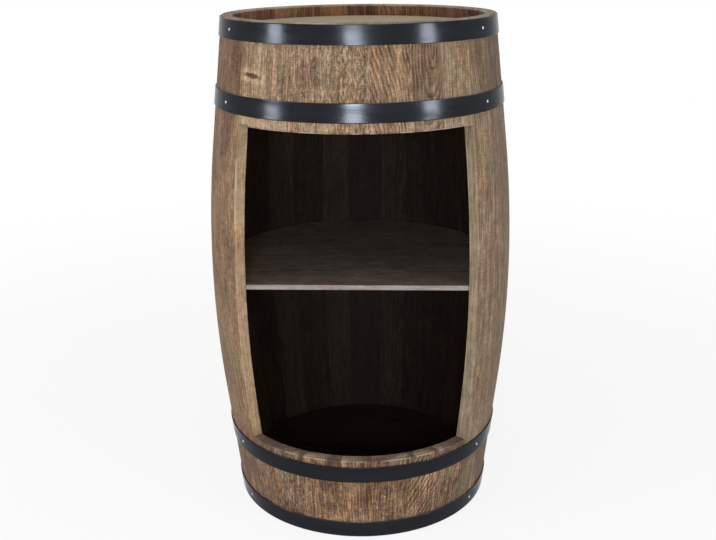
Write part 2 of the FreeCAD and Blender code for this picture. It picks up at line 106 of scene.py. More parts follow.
class BarrelSize(bpy.types.PropertyGroup):
    """Sizes of the barrel that the shown pieces are made to."""

    height: length("Height", "From stave end to stave end", TOP - BOTTOM)
    belly: length("Belly radius", "Outer radius of the wood at mid height", CAD_BOX[1].x)
    bend: length("Bend radius", "Radius to which the middle of each stave is bent", 1.8)
    straight: length("Straight end", "Height of the unbent stretch at each stave end", 0.2)
    wall: length("Stave thickness", "Thickness square to the stave's face", 0.018)
    bevel: length("Chime bevel", "Bevel inside each stave end", 0.003)
    croze_low: length("Groove start", "From the stave end to the near side of the head's groove", 0.0233)
    croze_high: length("Groove end", "From the stave end to the far side of the head's groove", 0.0299)
    croze_radius: length("Groove radius", "Radius of the bottom of the head's groove", 0.2039)
    squeeze: length("Joint squeeze", "How far a stave's side reaches into the next, against light", 0.0001)
    arris: length("Joint arris", "Rounding along the edges of a stave", 0.0006)
    cut_arris: length("Cut arris", "Rounding of the sawn ends", 0.0007)
    flat: length("Flatness", "How far the middle of a stave's face lies below a true circle", 0.0003)
    hoop_thickness: length("Hoop thickness", "Thickness of the hoop strip", 0.0015)
    hoop_play: length("Hoop play", "Gap between hoop and staves", 0.0003)
    hoop_arris: length("Hoop arris", "Rounding of the hoop's edges", 0.0006)
    lap: length("Hoop lap", "Overlap of a hoop's two ends", 0.05)
    rivet_spacing: length("Rivet spacing", "Distance between the rivets of a lap", 0.026)
    rivet_radius: length("Rivet head", "Radius of a rivet head", 0.0045)
    rivet_height: length("Rivet height", "Height of a rivet head", 0.002)
    nail_setback: length("Nail setback", "From the opening's edge to a hoop nail, along the hoop", 0.038)
    nail_radius: length("Nail head", "Radius of a nail head", 0.0024)
    nail_height: length("Nail height", "Height of a nail head", 0.0012)
    head_radius: length("Head radius", "Radius of the head's faces", 0.1981)
    tongue_radius: length("Tongue radius", "Radius of the head's edge in its groove", 0.2036)
    tongue: length("Tongue thickness", "Thickness of the head's edge", 0.006)
    board_arris: length("Board arris", "Rounding of the head boards' edges", 0.0008)
    shelf_radius: length("Shelf radius", "Radius of the shelf's round edge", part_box("shelf")[1].y)
    shelf_arris: length("Shelf arris", "Rounding of the shelf's edges", 0.001)
    turn: IntProperty(name="Hoop steps", description="Steps around a hoop", default=288, min=24)
    rows: IntProperty(name="Stave steps", description="Steps along a full stave", default=60, min=8)


class BarrelFinish(bpy.types.PropertyGroup):
    """Colours of the finishes. The woods' colours are added from the table below."""

    grey_veil: colour("Weathered", "Tint of weathered patches, laid over the wood", 194, 206, 212)
    warm_veil: colour("Warm", "Tint of warm boards, laid over the wood", 255, 236, 212)
    worn: colour("Worn edge", "Wood where its edges are rubbed", 222, 198, 166)
    hoop: colour("Hoops", "Blackened steel of the hoops", 38, 40, 44)
    bright: colour("Bright steel", "Nails and screws", 190, 192, 196)
    # The rubbed steel is wear and also a painted glint: the hoops' edges are lighter to stand in for light
    # catching them.
    rubbed: colour("Rubbed steel and glint", "Steel that shows through along the hoops' edges", 96, 98, 102)
    rivet: colour("Rivet steel", "Rivet heads", 60, 62, 66)
    floor: colour("Floor", "The pale floor", 244, 244, 244)


# Each wood's title and place, and the display colours of its dark grain, its ground and its pale streaks.
WOODS = {
    "outer": ("Outside", "the outside", (78, 58, 46), (139, 113, 89), (209, 179, 146)),
    # The inside's colours are its stain darkened further by painted shade, for the deep shade inside the
    # barrel.
    "inner": ("Inside", "the inside", (21, 16, 14), (38, 30, 24), (60, 47, 37)),
    "chime": ("Chime", "the rim's inside, above the head", (56, 38, 27), (111, 80, 60), (161, 125, 93)),
    "sawn": ("Sawn side", "the sawn sides", (126, 100, 76), (177, 152, 126), (228, 197, 165)),
    # The lip's colours are its stain darkened further by painted shade, for the shade on the opening's sawn
    # ends.
    "lip": ("Lip", "the opening's sawn ends", (76, 62, 53), (112, 93, 80), (152, 130, 115)),
    "rim": ("Rim", "the stave ends", (92, 80, 68), (130, 118, 105), (164, 151, 136)),
    "head": ("Head", "the heads", (126, 111, 88), (162, 147, 122), (169, 155, 133)),
    # The shelf's colours are its own, lightened by painted light for the light bounced onto it inside the
    # barrel.
    "shelf": ("Shelf", "the shelf's faces", (75, 63, 56), (118, 103, 91), (155, 138, 123)),
    "edge": ("Shelf edge", "the shelf's bare edge", (138, 122, 113), (159, 147, 139), (207, 193, 182)),
}
SHADE_ROLES = {"dark": "Dark grain", "mid": "Ground colour", "pale": "Pale streaks"}
for wood_name, (title, place, *shades) in WOODS.items():
    for (role, meaning), shown in zip(SHADE_ROLES.items(), shades):
        BarrelFinish.__annotations__[f"{wood_name}_{role}"] = colour(
            f"{title}, {role}", f"{meaning} of {place}", *shown
        )


class BarrelLight(bpy.types.PropertyGroup):
    """Lamps, fill light and camera."""

    fill: number("Fill", "Strength of the even light from all round", 0.24)
    glare: number("Glare", "Radiance of the soft lamps", 26.5)
    top_glare: number("Top glare", "Radiance of the lamp overhead", 2.2)
    top_width: length("Top lamp width", "Width of the lamp overhead", 1.6)
    top_height: length("Top lamp height", "Height of the lamp overhead", 2.5)
    lamp_distance: length("Lamp distance", "From the barrel's axis to each lamp", 2.05)
    floor_glow: number("Floor glow", "Share of plain white in the floor near the barrel", 0.86, max=1)
    camera_distance: length("Camera distance", "From the barrel's axis, level", 1.599)
    camera_height: length("Camera height", "Above the floor", 0.917)
    camera_side: turning("Camera side", "Turn of the camera about the barrel", math.radians(2.3))
    camera_pitch: turning("Camera pitch", "Downward tilt of the camera", math.radians(18.43))
    camera_yaw: turning("Camera yaw", "Turn of the camera off the barrel's axis", math.radians(0.17))
    camera_roll: turning("Camera roll", "Turn of the camera about its line of sight", -0.01)
    focal: number("Focal length", "Of the camera, in millimetres", 49.75)


# ---------------------------------------------------------------- shape of the barrel


def from_middle(z):
    """Height above or below the barrel's middle, without its sign."""
    size = bpy.context.scene.barrel_size
    return np.abs(np.asarray(z, float) - size.height / 2)


def arc_or_slope(away, radius, reach, belly):
    """Radius of a face that is an arc of the given radius up to reach, and its tangent line beyond it."""
    rise = math.sqrt(radius**2 - reach**2)
    arc = belly - radius + np.sqrt(radius**2 - np.minimum(away, reach) ** 2)
    return arc - reach / rise * np.maximum(away - reach, 0)


def outer_radius(z):
    """Outer radius of the wood: the bend's arc about mid height, then a straight line to each end."""
    size = bpy.context.scene.barrel_size
    return arc_or_slope(from_middle(z), size.bend, size.height / 2 - size.straight, size.belly)


def inner_radius(z):
    """Inner radius of the wood: the outer line moved in by the stave's thickness, square to itself."""
    size = bpy.context.scene.barrel_size
    inner_bend = size.bend - size.wall
    reach = (size.height / 2 - size.straight) * inner_bend / size.bend
    return arc_or_slope(from_middle(z), inner_bend, reach, size.belly - size.wall)


def outer_slope():
    """Angle between a stave's straight end and the barrel's axis."""
    size = bpy.context.scene.barrel_size
    return math.asin((size.height / 2 - size.straight) / size.bend)


def half_opening():
    """Half of the angle that the opening takes."""
    return math.pi / (FULL_STAVES + FRONT_STAVES) * FRONT_STAVES


# The numbers that turn a key into a large sine, and the second part of the key for each kind of board.
KEY_WEIGHTS = np.array((12.9898, 78.233, 37.719))
KEY_STEP, SINE_SCALE = 4.173, 43758.5453
STAVE_LUCK, HEAD_LUCK, SHELF_LUCK = 3, 11, 1


def chance(*key):
    """Six numbers from 0 to 1 that look random and depend on the key alone: the fractions of large sines."""
    seed = np.dot(np.array(key, float), KEY_WEIGHTS[: len(key)])
    return np.modf(np.abs(np.sin(seed + np.arange(1, 7) * KEY_STEP) * SINE_SCALE))[0]


# ---------------------------------------------------------------- making meshes

# Angle in degrees up to which faces are shown smooth, and the distance below which points are one.
CREASE = 24
ONE_POINT = 1e-6
# The turns at which a rounded arris has its points, from the side face on, and the width of the row beside
# each arris over which the wear fades out.
CORNER_TURN = np.radians((0, 30, 60, 90))
WEAR_WIDTH = 0.0016


def loft(rings):
    """Faces of closed rings of points joined in order, rings having the shape (ring, point, axis).

    Each face joins two neighbouring points of a ring to the same two of the next; the first and last
    ring are each closed by one face. The faces are turned over together where they enclose a negative volume.
    """
    count, around, _ = rings.shape
    index = np.arange(count * around).reshape(count, around)
    near, far = index[:-1], index[1:]
    quads = np.stack((near, np.roll(near, -1, 1), np.roll(far, -1, 1), far), axis=-1).reshape(-1, 4)
    points = rings.reshape(-1, 3)
    first, second, third, fourth = (points[quads[:, corner]] for corner in range(4))
    centre = points.mean(axis=0)
    volume = np.einsum("ij,ij->i", first - centre, np.cross(third - first, fourth - second)).sum()
    ends = [index[0][::-1].tolist(), index[-1].tolist()]
    if volume < 0:
        quads = quads[:, ::-1]
        ends = [end[::-1] for end in ends]
    return points, quads.tolist() + ends


def show(name, data):
    """An object of the scene that shows this mesh, lamp or camera."""
    shown = bpy.data.objects.new(name, data)
    bpy.context.scene.collection.objects.link(shown)
    return shown


def new_piece(name, points, faces, weld=False, crease=CREASE):
    """A mesh object with these points and faces, smooth except across edges sharper than crease degrees."""
    mesh = bpy.data.meshes.new(name)
    mesh.from_pydata(points.tolist(), [], faces)
    if weld:
        shell = bmesh.new()
        shell.from_mesh(mesh)
        bmesh.ops.remove_doubles(shell, verts=shell.verts, dist=ONE_POINT)
        shell.to_mesh(mesh)
        shell.free()
    mesh.shade_smooth()
    mesh.set_sharp_from_angle(angle=math.radians(crease))
    piece = show(name, mesh)
    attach(piece, "root")
    return piece


def write_vectors(piece, name, values):
    """Stores one vector for each point of the piece's mesh."""
    layer = piece.data.attributes.new(name, "FLOAT_VECTOR", "POINT")
    layer.data.foreach_set("vector", np.ascontiguousarray(values, dtype=np.float32).reshape(-1))


def write_values(piece, name, values):
    """Stores one number for each point of the piece's mesh."""
    layer = piece.data.attributes.new(name, "FLOAT", "POINT")
    layer.data.foreach_set("value", np.ascontiguousarray(values, dtype=np.float32).reshape(-1))


def read_points(piece):
    """The points of a mesh as an array."""
    points = np.empty(len(piece.data.vertices) * 3, dtype=np.float32)
    piece.data.vertices.foreach_get("co", points)
    return points.reshape(-1, 3).astype(float)


def rounded_edge(arris):
    """Inset from one face and drop under the other along a quarter circle, and on the row past the wear."""
    inset = arris * (1 - np.cos(CORNER_TURN))
    drop = arris * (1 - np.sin(CORNER_TURN))
    return np.append(inset, arris + WEAR_WIDTH), np.append(drop, 0)


def ramp(value, start, width):
    """0 before the start, 1 beyond the width, and even between; a negative width turns it round."""
    return np.clip((value - start) / width, 0, 1)


def turned_about_axis(radius, angle, height):
    """Points given by their distance from the barrel's axis, their angle about it and their height."""
    return np.stack((radius * np.cos(angle), radius * np.sin(angle), height), axis=-1)


def give_materials(piece, names, index=None):
    """Puts the named materials in the piece's slots, and each face's choice of them where index is given."""
    for name in names:
        piece.data.materials.append(bpy.data.materials[name])
    if index is not None:
        piece.data.polygons.foreach_set("material_index", np.ascontiguousarray(index, dtype=np.int32))


# ---------------------------------------------------------------- staves

OUTSIDE, SAWN, INSIDE, RIM, LIP, CHIME = range(6)
# The inside's material carries painted shade in its dark colours, as well as its stain.
STAVE_MATERIALS = (
    "Weathered outside", "Sawn side", "Stained and shaded inside", "Weathered rim", "Sawn lip", "Chime wood",
)
# Painted shade on the side face that borders the opening: how much darker it is than the rest of its stave,
# for the weaker light that falls on it.
FLANK_PAINTED_SHADE = {"full_stave_01": -0.8}
# Where the outer arris beside the opening is rubbed bare: its points in the section, then the lowest
# and highest place and the strength of each rubbed stretch.
RUBBED_ARRIS = {
    "full_stave_19": (slice(13, 16), ((0.43, 0.62, 6.0), (0.25, 0.3, 3.0))),
    "full_stave_01": (slice(1, 4), ((0.53, 0.6, 2.5), (0.4, 0.47, 5.0), (0.255, 0.295, 6.0))),
}
RUBBED_FADE = 0.02
# Rows of faces that round a stave's end, and the most that luck sinks a stave's outer face.
END_ROWS = 5
LUCKY_SINK = 0.00012
# Points across the flat of a stave's outer and inner face.
OUTER_POINTS, INNER_POINTS = 7, 5
# Clear height kept between evenly spaced stations and the ones that shape ends and grooves, the fewest
# evenly spaced ones, and a height too small to see that sets the order of stations at one height.
STATION_GAP = 0.002
FEWEST_ROWS = 6
TINY = 1e-9


def stave_section(arris):
    """The loop of a stave's cross-section, as five arrays over its points.

    side runs from -1 to 1 across the stave, pull is the distance from the side face towards the
    middle, level is 0 on the outer face and 1 on the inner one, drop is the depth below that face,
    and edge is 1 on the rounded arrises. The arrises are quarter circles in three steps.
    """
    inset, sink = rounded_edge(arris)
    end = np.ones(len(inset))
    worn = inset[-1]

    def face(level, inner_points):
        """The five values over the outer or inner face and its two arrises."""
        middle = np.linspace(-1, 1, inner_points + 2)[1:-1]
        side = np.concatenate((-end, middle, end))
        pull = np.concatenate((inset, np.abs(middle) * worn, inset[::-1]))
        drop = np.concatenate((sink, np.zeros(inner_points), sink[::-1]))
        edge = np.concatenate((end[1:], np.zeros(inner_points + 2), end[1:]))
        return side, pull, np.full(side.shape, level), drop, edge

    def flank(side, levels):
        """The five values at the two points of a side face."""
        return np.full(2, side), np.zeros(2), np.array(levels), np.full(2, worn), np.zeros(2)

    outer = face(0.0, OUTER_POINTS)
    inner = tuple(values[::-1] for values in face(1.0, INNER_POINTS))
    right = flank(1.0, (0.0, 1.0))
    left = flank(-1.0, (1.0, 0.0))
    columns = len(outer[0]), 2, len(inner[0]), 2
    kinds = np.repeat((OUTSIDE, SAWN, INSIDE, SAWN), columns)
    kinds[len(outer[0]) - 1] = SAWN
    kinds[sum(columns[:3]) - 1] = SAWN
    section = tuple(np.concatenate(parts) for parts in zip(outer, right, inner, left))
    return section, kinds


def end_stations(end, sign, arris):
    """Stations that round one end of a stave, from its flat face inwards: height, inset and edge wear."""
    rise, inset = rounded_edge(arris)
    edge = np.array((0, 1, 1, 1, 1, 0))
    return end + sign * np.append(0, rise), np.append(rise[-1], inset), edge


def stave_stations(low, high, low_arris, high_arris):
    """Heights of a stave's stations with their end inset, edge wear and groove share.

    The two ends are rounded, each side of a head's groove has two stations at one height, one on the
    wall and one in the groove, and the rest is evenly divided.
    """
    size = bpy.context.scene.barrel_size
    start, start_inset, start_edge = end_stations(low, 1, low_arris)
    finish, finish_inset, finish_edge = (part[::-1] for part in end_stations(high, -1, high_arris))
    between, groove = [], []
    for end, sign in ((0.0, 1), (size.height, -1)):
        near, far = end + sign * size.croze_low, end + sign * size.croze_high
        if low <= near <= high:
            between += [end + sign * size.bevel, near, near, far, far]
            groove += [0, 0, 1, 1, 0]
    steps = max(int(size.rows * (high - low) / size.height), FEWEST_ROWS)
    plain = np.linspace(low, high, steps + 2)[1:-1]
    clear = (plain > start[-1] + STATION_GAP) & (plain < finish[0] - STATION_GAP)
    for end in (0.0, size.height):
        clear &= np.abs(plain - end) > size.croze_high + STATION_GAP
    plain = plain[clear]
    middle = np.concatenate((between, plain))
    share = np.concatenate((groove, np.zeros(len(plain))))
    # Where two stations share a height, the one named first lies nearer the stave's end.
    upward = np.where(np.array(between) < size.height / 2, 1, -1)
    rank = np.concatenate((np.arange(len(between)) * TINY * upward, np.zeros(len(plain))))
    order = np.argsort(middle + rank, kind="stable")
    nothing = np.zeros(len(middle))
    return (
        np.concatenate((start, middle[order], finish)),
        np.concatenate((start_inset, nothing, finish_inset)),
        np.concatenate((start_edge, nothing, finish_edge)),
        np.concatenate((np.zeros(len(start)), share[order], np.zeros(len(finish)))),
    )


def make_stave(node, number, end_kinds, arrises):
    """One stave or stub: its cross-section's loop carried up the barrel between its two side planes.

    A point's angle is the stave's middle plus its share of the half width, less the pull over the radius;
    its radius is the outer or inner one at its height, moved into the wood by the drop and the end inset.
    The face wears along its arrises, and more on the rubbed stretches.
    """
    size = bpy.context.scene.barrel_size
    first, last = node_angles(node)
    middle, half = (first + last) / 2, (last - first) / 2
    low, high = (corner.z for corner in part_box(node))
    (side, pull, level, drop, edge), kinds = stave_section(size.arris)
    z, inset, end_edge, groove = stave_stations(low, high, *arrises)
    luck = chance(number, STAVE_LUCK)
    outer = outer_radius(z)[:, None]
    bevel = np.maximum(size.bevel - np.minimum(z, size.height - z), 0)
    inner = (inner_radius(z) + bevel + groove * (size.croze_radius - inner_radius(z)))[:, None]
    # A slightly flattened back, so that neighbouring staves meet at a faint angle.
    sunk = (1 - side**2) * size.flat + luck[0] * LUCKY_SINK
    depth = drop + np.where(level < 0.5, sunk, 0) + inset[:, None]
    radius = np.where(level < 0.5, outer - depth, inner + depth)
    across = side * (half * outer + size.squeeze) - np.sign(side) * (pull + inset[:, None] * np.abs(side))
    angle = middle + across / outer
    height = np.broadcast_to(z[:, None], radius.shape)
    piece = new_piece(node, *loft(turned_about_axis(radius, angle, height)))

    grain = np.stack((across, outer - radius, height), axis=-1)
    write_vectors(piece, "grain", grain)
    # Painted shade darkens the side face beside the opening.
    on_flank = (pull == 0) & (drop > size.arris)
    flank_painted_shade = np.broadcast_to(on_flank * FLANK_PAINTED_SHADE.get(node, 0.0), radius.shape).reshape(-1)
    write_board(piece, node, luck, number, flank_painted_shade)
    wear = np.maximum(np.broadcast_to(edge, radius.shape), end_edge[:, None])
    columns, stretches = RUBBED_ARRIS.get(node, (slice(0, 0), ()))
    for start, finish, strength in stretches:
        share = ramp(z, start, RUBBED_FADE) * ramp(z, finish, -RUBBED_FADE)
        wear[:, columns] = np.maximum(wear[:, columns], strength * share[:, None])
    write_values(piece, "wear", wear)

    grid = np.tile(kinds, (len(z) - 1, 1))
    row = (z[1:] + z[:-1]) / 2
    beyond_head = np.minimum(row, size.height - row) < size.croze_low
    grid[np.ix_(beyond_head, kinds == INSIDE)] = CHIME
    grid[:END_ROWS] = end_kinds[0]
    grid[-END_ROWS:] = end_kinds[1]
    give_materials(piece, STAVE_MATERIALS, np.concatenate((grid.reshape(-1), end_kinds)))
    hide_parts(node)


# Boards with a look of their own: tone, warmth, share of short fibres, strength of the rings, and the
# pith's place across, depth and lean.
OWN_LOOKS = {
    "full_stave_17": (-0.5, 0.1, 0.2, 0.6, 0.1, 0.05, 0.02),
    "full_stave_18": (-0.8, 0.85, 0.3, 0.4, -0.12, 0.06, 0.01),
    "full_stave_19": (-0.65, 0.65, 0.35, 0.4, 0.11, 0.05, 0.01),
    "full_stave_01": (0.25, -1.3, 0.2, 0.7, -0.12, 0.05, 0.01),
    "full_stave_02": (-0.3, -1.1, 0.15, 0.6, 0.1, 0.05, 0.01),
    "full_stave_03": (-0.5, -0.8, 0.2, 0.6, -0.09, 0.05, 0.01),
    "upper_front_stave_1": (0.45, 0.1, 0.45, 0.5, 0.09, 0.03, 0.02),
    "upper_front_stave_2": (0.2, 0.1, 0.5, 0.5, -0.1, 0.04, 0.02),
    "upper_front_stave_3": (-0.2, -0.3, 0.6, 0.5, 0.08, 0.04, 0.03),
    "upper_front_stave_4": (-0.6, -0.2, 0.9, 0.5, -0.07, 0.05, 0.02),
    "upper_front_stave_5": (-0.5, 0.15, 0.4, 1.2, -0.2, -0.25, 0.5),
    "upper_front_stave_6": (-0.8, -0.9, 0.1, 1.1, 0.004, 0.19, -0.25),
    "upper_front_stave_7": (-0.1, -0.4, 0.3, 0.6, 0.1, 0.05, 0.01),
    "lower_front_stave_1": (-0.1, 0.3, 0.6, 0.6, -0.09, 0.05, 0.02),
    "lower_front_stave_2": (-0.1, 0.0, 0.7, 0.6, 0.1, 0.04, 0.02),
    "lower_front_stave_3": (-0.25, 0.7, 0.4, 0.8, -0.08, 0.05, 0.01),
    "lower_front_stave_4": (-0.45, 1.0, 0.2, 0.9, 0.11, 0.05, 0.01),
    "lower_front_stave_5": (-0.25, 0.6, 0.4, 0.9, 0.05, 0.03, 0.12),
    "lower_front_stave_6": (-0.1, 0.6, 0.2, 1.7, -0.2, 0.209, -0.6),
    "lower_front_stave_7": (-0.2, 0.3, 0.3, 0.7, 0.1, 0.05, 0.01),
}
# Knots: their place across and up the board, and half of their length.
OWN_KNOTS = {"upper_front_stave_1": (0.0005, 0.7335, 0.0175)}
NO_KNOT = (9.0, 9.0, 0.01)
# Spacing of the year rings, and boards where it is wider.
RING_SPACING = 0.0042
WIDE_RINGS = {"upper_front_stave_5": 0.0055, "lower_front_stave_6": 0.0056}
# A board's tone by the first word of its name: everywhere, and further by how much from which distance off
# the barrel's middle, coming in over a width that is negative for a stretch nearer to the middle.
TONES_BY_PLACE = {
    "full": (0.0, -0.9, 0.265, 0.03),
    "lower": (-0.9, -0.4, 0.285, -0.02),
    "upper": (0.0, 0.55, 0.285, -0.02),
}
SAME_TONE = (0.0, 0.0, 0.0, 1.0)
# How deep under the outer radius a point still counts as the outer face.
FACE_DEPTH = 0.004
# What a board without a look of its own draws by luck instead, in the order of a look: which of its chance
# numbers, and the least and the most that it gives.
LUCKY_LOOK = (
    (1, -1.0, 1.0), (2, -1.0, 1.0), (0, 0.0, 0.4), (5, 0.5, 1.1),
    (3, -0.12, 0.12), (4, 0.02, 0.08), (5, -0.05, 0.05),
)
# Boldness of a lower stub's grain, and of other boards with long fibres only and with enough short ones.
STUB_BOLD, LONG_BOLD, SHORT_BOLD = 1.25, 0.6, 1.1
ENOUGH_SHORT = 0.6
# How far apart the seeds of two boards' grain lie.
SEED_STEP = 3.7


def end_tones(name, piece):
    """How much darker or paler a board is near its ends than in the middle, a full stave outside only."""
    points = read_points(piece)
    z = points[:, 2]
    kind = name.split("_")[0]
    everywhere, further, start, width = TONES_BY_PLACE.get(kind, SAME_TONE)
    tones = everywhere + further * ramp(from_middle(z), start, width)
    if kind == "full":
        tones *= np.hypot(points[:, 0], points[:, 1]) > outer_radius(z) - FACE_DEPTH
    return tones


def write_board(piece, name, luck, number, shade=0.0):
    """Stores what makes a board's grain its own: tone, warmth and seed, pith, figure, boldness and knot."""
    lucky = [least + luck[which] * (most - least) for which, least, most in LUCKY_LOOK]
    tone, warmth, short, rings, *pith = OWN_LOOKS.get(name, lucky)
    spacing = WIDE_RINGS.get(name, RING_SPACING)
    bold = LONG_BOLD + (SHORT_BOLD - LONG_BOLD) * min(short / ENOUGH_SHORT, 1)
    if name.startswith("lower"):
        bold = STUB_BOLD
    seed = number * SEED_STEP + luck[0]
    # shade is painted shade, added to the tone of the side face beside the opening.
    tones = tone + end_tones(name, piece) + shade
    every = np.ones((len(tones), 1))
    write_vectors(piece, "board", np.column_stack((tones, every * (warmth, seed))))
    write_vectors(piece, "pith", every * pith)
    write_vectors(piece, "figure", every * (short, rings, spacing))
    write_vectors(piece, "knot", every * OWN_KNOTS.get(name, NO_KNOT))
    write_values(piece, "bold", every * bold)


def node_angles(node):
    """The lowest and highest angle about the barrel's axis that a CAD node reaches, as one range."""
    points = read_points(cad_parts[node])
    x, y, _ = points.mean(axis=0)
    towards = math.atan2(y, x)
    turn = np.arctan2(points[:, 1], points[:, 0]) - towards
    turn = (turn + math.pi) % (2 * math.pi) - math.pi
    return towards + turn.min(), towards + turn.max()


# ---------------------------------------------------------------- hoops and their fasteners

# A hoop's rounded edge, the rows on its flat face and how many arrises these keep off the edge.
HOOP_CORNER = np.radians((0, 22.5, 45, 67.5, 90))
FLAT_ROWS = 5
FLAT_MARGIN = 2.5
# How far the corners of a hoop's inner side stand off its edges, the length of the ramp before the lap and
# the lift of the lap as a share of the strip's thickness.
INNER_CORNER = 0.0001
LAP_RAMP = 0.03
LAP_LIFT = 1.02
# The angles in degrees up to which hoops and fastener heads are shown smooth.
HOOP_CREASE, HEAD_CREASE = 35, 40
# The radius at which a turn about the axis gives the length along a strip's grain, and how far the grain
# moves from one hoop to the next.
GRAIN_RADIUS = 0.22
GRAIN_SHIFT = np.array((3.1, 0, 1))
# A fastener head's sides, its meridian's angles, and its foot's radius and rise as shares of the head's.
DOME_SIDES = 16
DOME_CLIMB = (0, 18, 38, 58, 74, 84)
FOOT_RADIUS, FOOT_RISE = 0.97, -0.15


def make_hoop(name, number):
    """One hoop: a flat strip's rounded profile carried once around the barrel and on over its own start.

    A point's radius is that of the staves at its height plus the play and its depth in the strip; over
    the lap one strip thickness is added, along a smooth ramp that starts before the overlap.
    """
    size = bpy.context.scene.barrel_size
    low, high = (corner.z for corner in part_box(name))
    arris = size.hoop_arris
    inward = arris * (1 - np.sin(HOOP_CORNER))
    along = arris * (1 - np.cos(HOOP_CORNER))
    margin = arris * FLAT_MARGIN
    middle = np.linspace(low + margin, high - margin, FLAT_ROWS)
    inner = high - INNER_CORNER, low + INNER_CORNER
    z = np.concatenate((low + along, middle, high - along[::-1], inner))
    depth = np.concatenate((inward, np.zeros(FLAT_ROWS), inward[::-1], np.full(2, size.hoop_thickness)))
    mid_radius = float(outer_radius((low + high) / 2))
    half_lap = size.lap / 2 / mid_radius
    start = math.pi / 2 - half_lap
    turn = np.linspace(0, 2 * math.pi + 2 * half_lap, size.turn + 1)
    climb = LAP_RAMP / mid_radius
    step = ramp(turn, 2 * math.pi - climb, climb)
    lift = size.hoop_thickness * LAP_LIFT * step * step * (3 - 2 * step)
    base = outer_radius(z) + size.hoop_play + size.hoop_thickness
    radius = (base - depth)[None, :] + lift[:, None]
    angle = (start + turn)[:, None]
    height = np.broadcast_to(z, radius.shape)
    piece = new_piece(name, *loft(turned_about_axis(radius, angle, height)), crease=HOOP_CREASE)
    along_strip = np.broadcast_to(turn[:, None] * GRAIN_RADIUS, radius.shape)
    strip = np.stack((along_strip, height - low, np.zeros(radius.shape)), axis=-1)
    write_vectors(piece, "grain", strip + number * GRAIN_SHIFT)
    # The edge rows take the lighter steel, which is wear and a painted glint.
    write_values(piece, "wear", np.broadcast_to(depth > 0, radius.shape))
    give_materials(piece, ("Black hoop",))
    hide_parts(name)


def domes(centres, axes, radius, height):
    """Low round heads: each point lies at a share of the radius around its axis, raised by a flat dome.

    The meridian runs from the rim, which stands on the strip, over a quarter ellipse to a small cap.
    """
    around = np.linspace(0, 2 * math.pi, DOME_SIDES, endpoint=False)
    climb = np.radians(DOME_CLIMB)
    ring = np.concatenate(((FOOT_RADIUS,), np.cos(climb)))
    rise = np.concatenate(((FOOT_RISE,), np.sin(climb)))
    points, faces, offset = [], [], 0
    for centre, axis in zip(centres, axes):
        side = np.cross(axis, (0, 0, 1))
        side /= np.linalg.norm(side)
        up = np.cross(side, axis)
        flat = np.cos(around)[:, None] * side + np.sin(around)[:, None] * up
        rings = centre + ring[:, None, None] * radius * flat + rise[:, None, None] * height * axis
        more, added = loft(rings)
        points.append(more)
        faces += [[corner + offset for corner in face] for face in added]
        offset += len(more)
    return np.concatenate(points), faces


def on_hoop(name, angle, layers):
    """The point at an angle on a hoop's outer face, at mid width over some layers of strip, and outwards."""
    size = bpy.context.scene.barrel_size
    z = sum(corner.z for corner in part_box(name)) / 2
    radius = float(outer_radius(z)) + size.hoop_play + layers * size.hoop_thickness
    tilt = outer_slope() * (1 if z > size.height / 2 else -1)
    outward = np.array((math.cos(angle) * math.cos(tilt), math.sin(angle) * math.cos(tilt), math.sin(tilt)))
    return np.array((radius * math.cos(angle), radius * math.sin(angle), z)), outward


def make_heads_of_fasteners(name, material, places, radius, height):
    """The heads of like fasteners as one piece that stands for their CAD node."""
    centres, axes = zip(*places)
    piece = new_piece(name, *domes(centres, axes, radius, height), crease=HEAD_CREASE)
    give_materials(piece, (material,))
    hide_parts(name)


# ---------------------------------------------------------------- heads and shelf

# Points along each side of a head board's and of the shelf's outline.
BOARD_STEPS, SHELF_STEPS = 34, 60
# How near a point's height must be to a flat face's to lie on it, and how many board arrises in from the
# edge a board's flat is still worn.
TOUCH = 1e-5
WORN_ARRISES = 1.5
# What is added to a head board's number, so that its grain differs from the staves', and the shelf's number.
HEAD_GRAIN, SHELF_NUMBER = 70, 91


def stack_discs(node, z, radius, y_low, y_high, steps, centre=0.0):
    """A piece of stacked levels, each the outline of a disc between two parallel lines, and its points.

    y runs from one line to the other in even steps of a half turn's cosine, and x is plus and then minus
    the root of the radius squared less y squared. The grain runs along x, and across it from the centre.
    """
    share = (1 - np.cos(np.linspace(0, math.pi, steps))) / 2
    y = y_low[:, None] + (y_high - y_low)[:, None] * share
    x = np.sqrt(np.maximum(radius[:, None] ** 2 - y**2, 0))
    outline = np.concatenate((x, -x[:, ::-1]), axis=1), np.concatenate((y, y[:, ::-1]), axis=1)
    height = np.broadcast_to(z[:, None], outline[0].shape)
    piece = new_piece(node, *loft(np.stack((*outline, height), axis=-1)), weld=True)
    points = read_points(piece)
    x, y, height = points.T
    write_vectors(piece, "grain", np.column_stack((y - centre, z.max() - height, x)))
    return piece, points


def on_a_face(height, low, high):
    """Which heights lie on the lower or the upper face."""
    return (np.abs(height - low) < TOUCH) | (np.abs(height - high) < TOUCH)


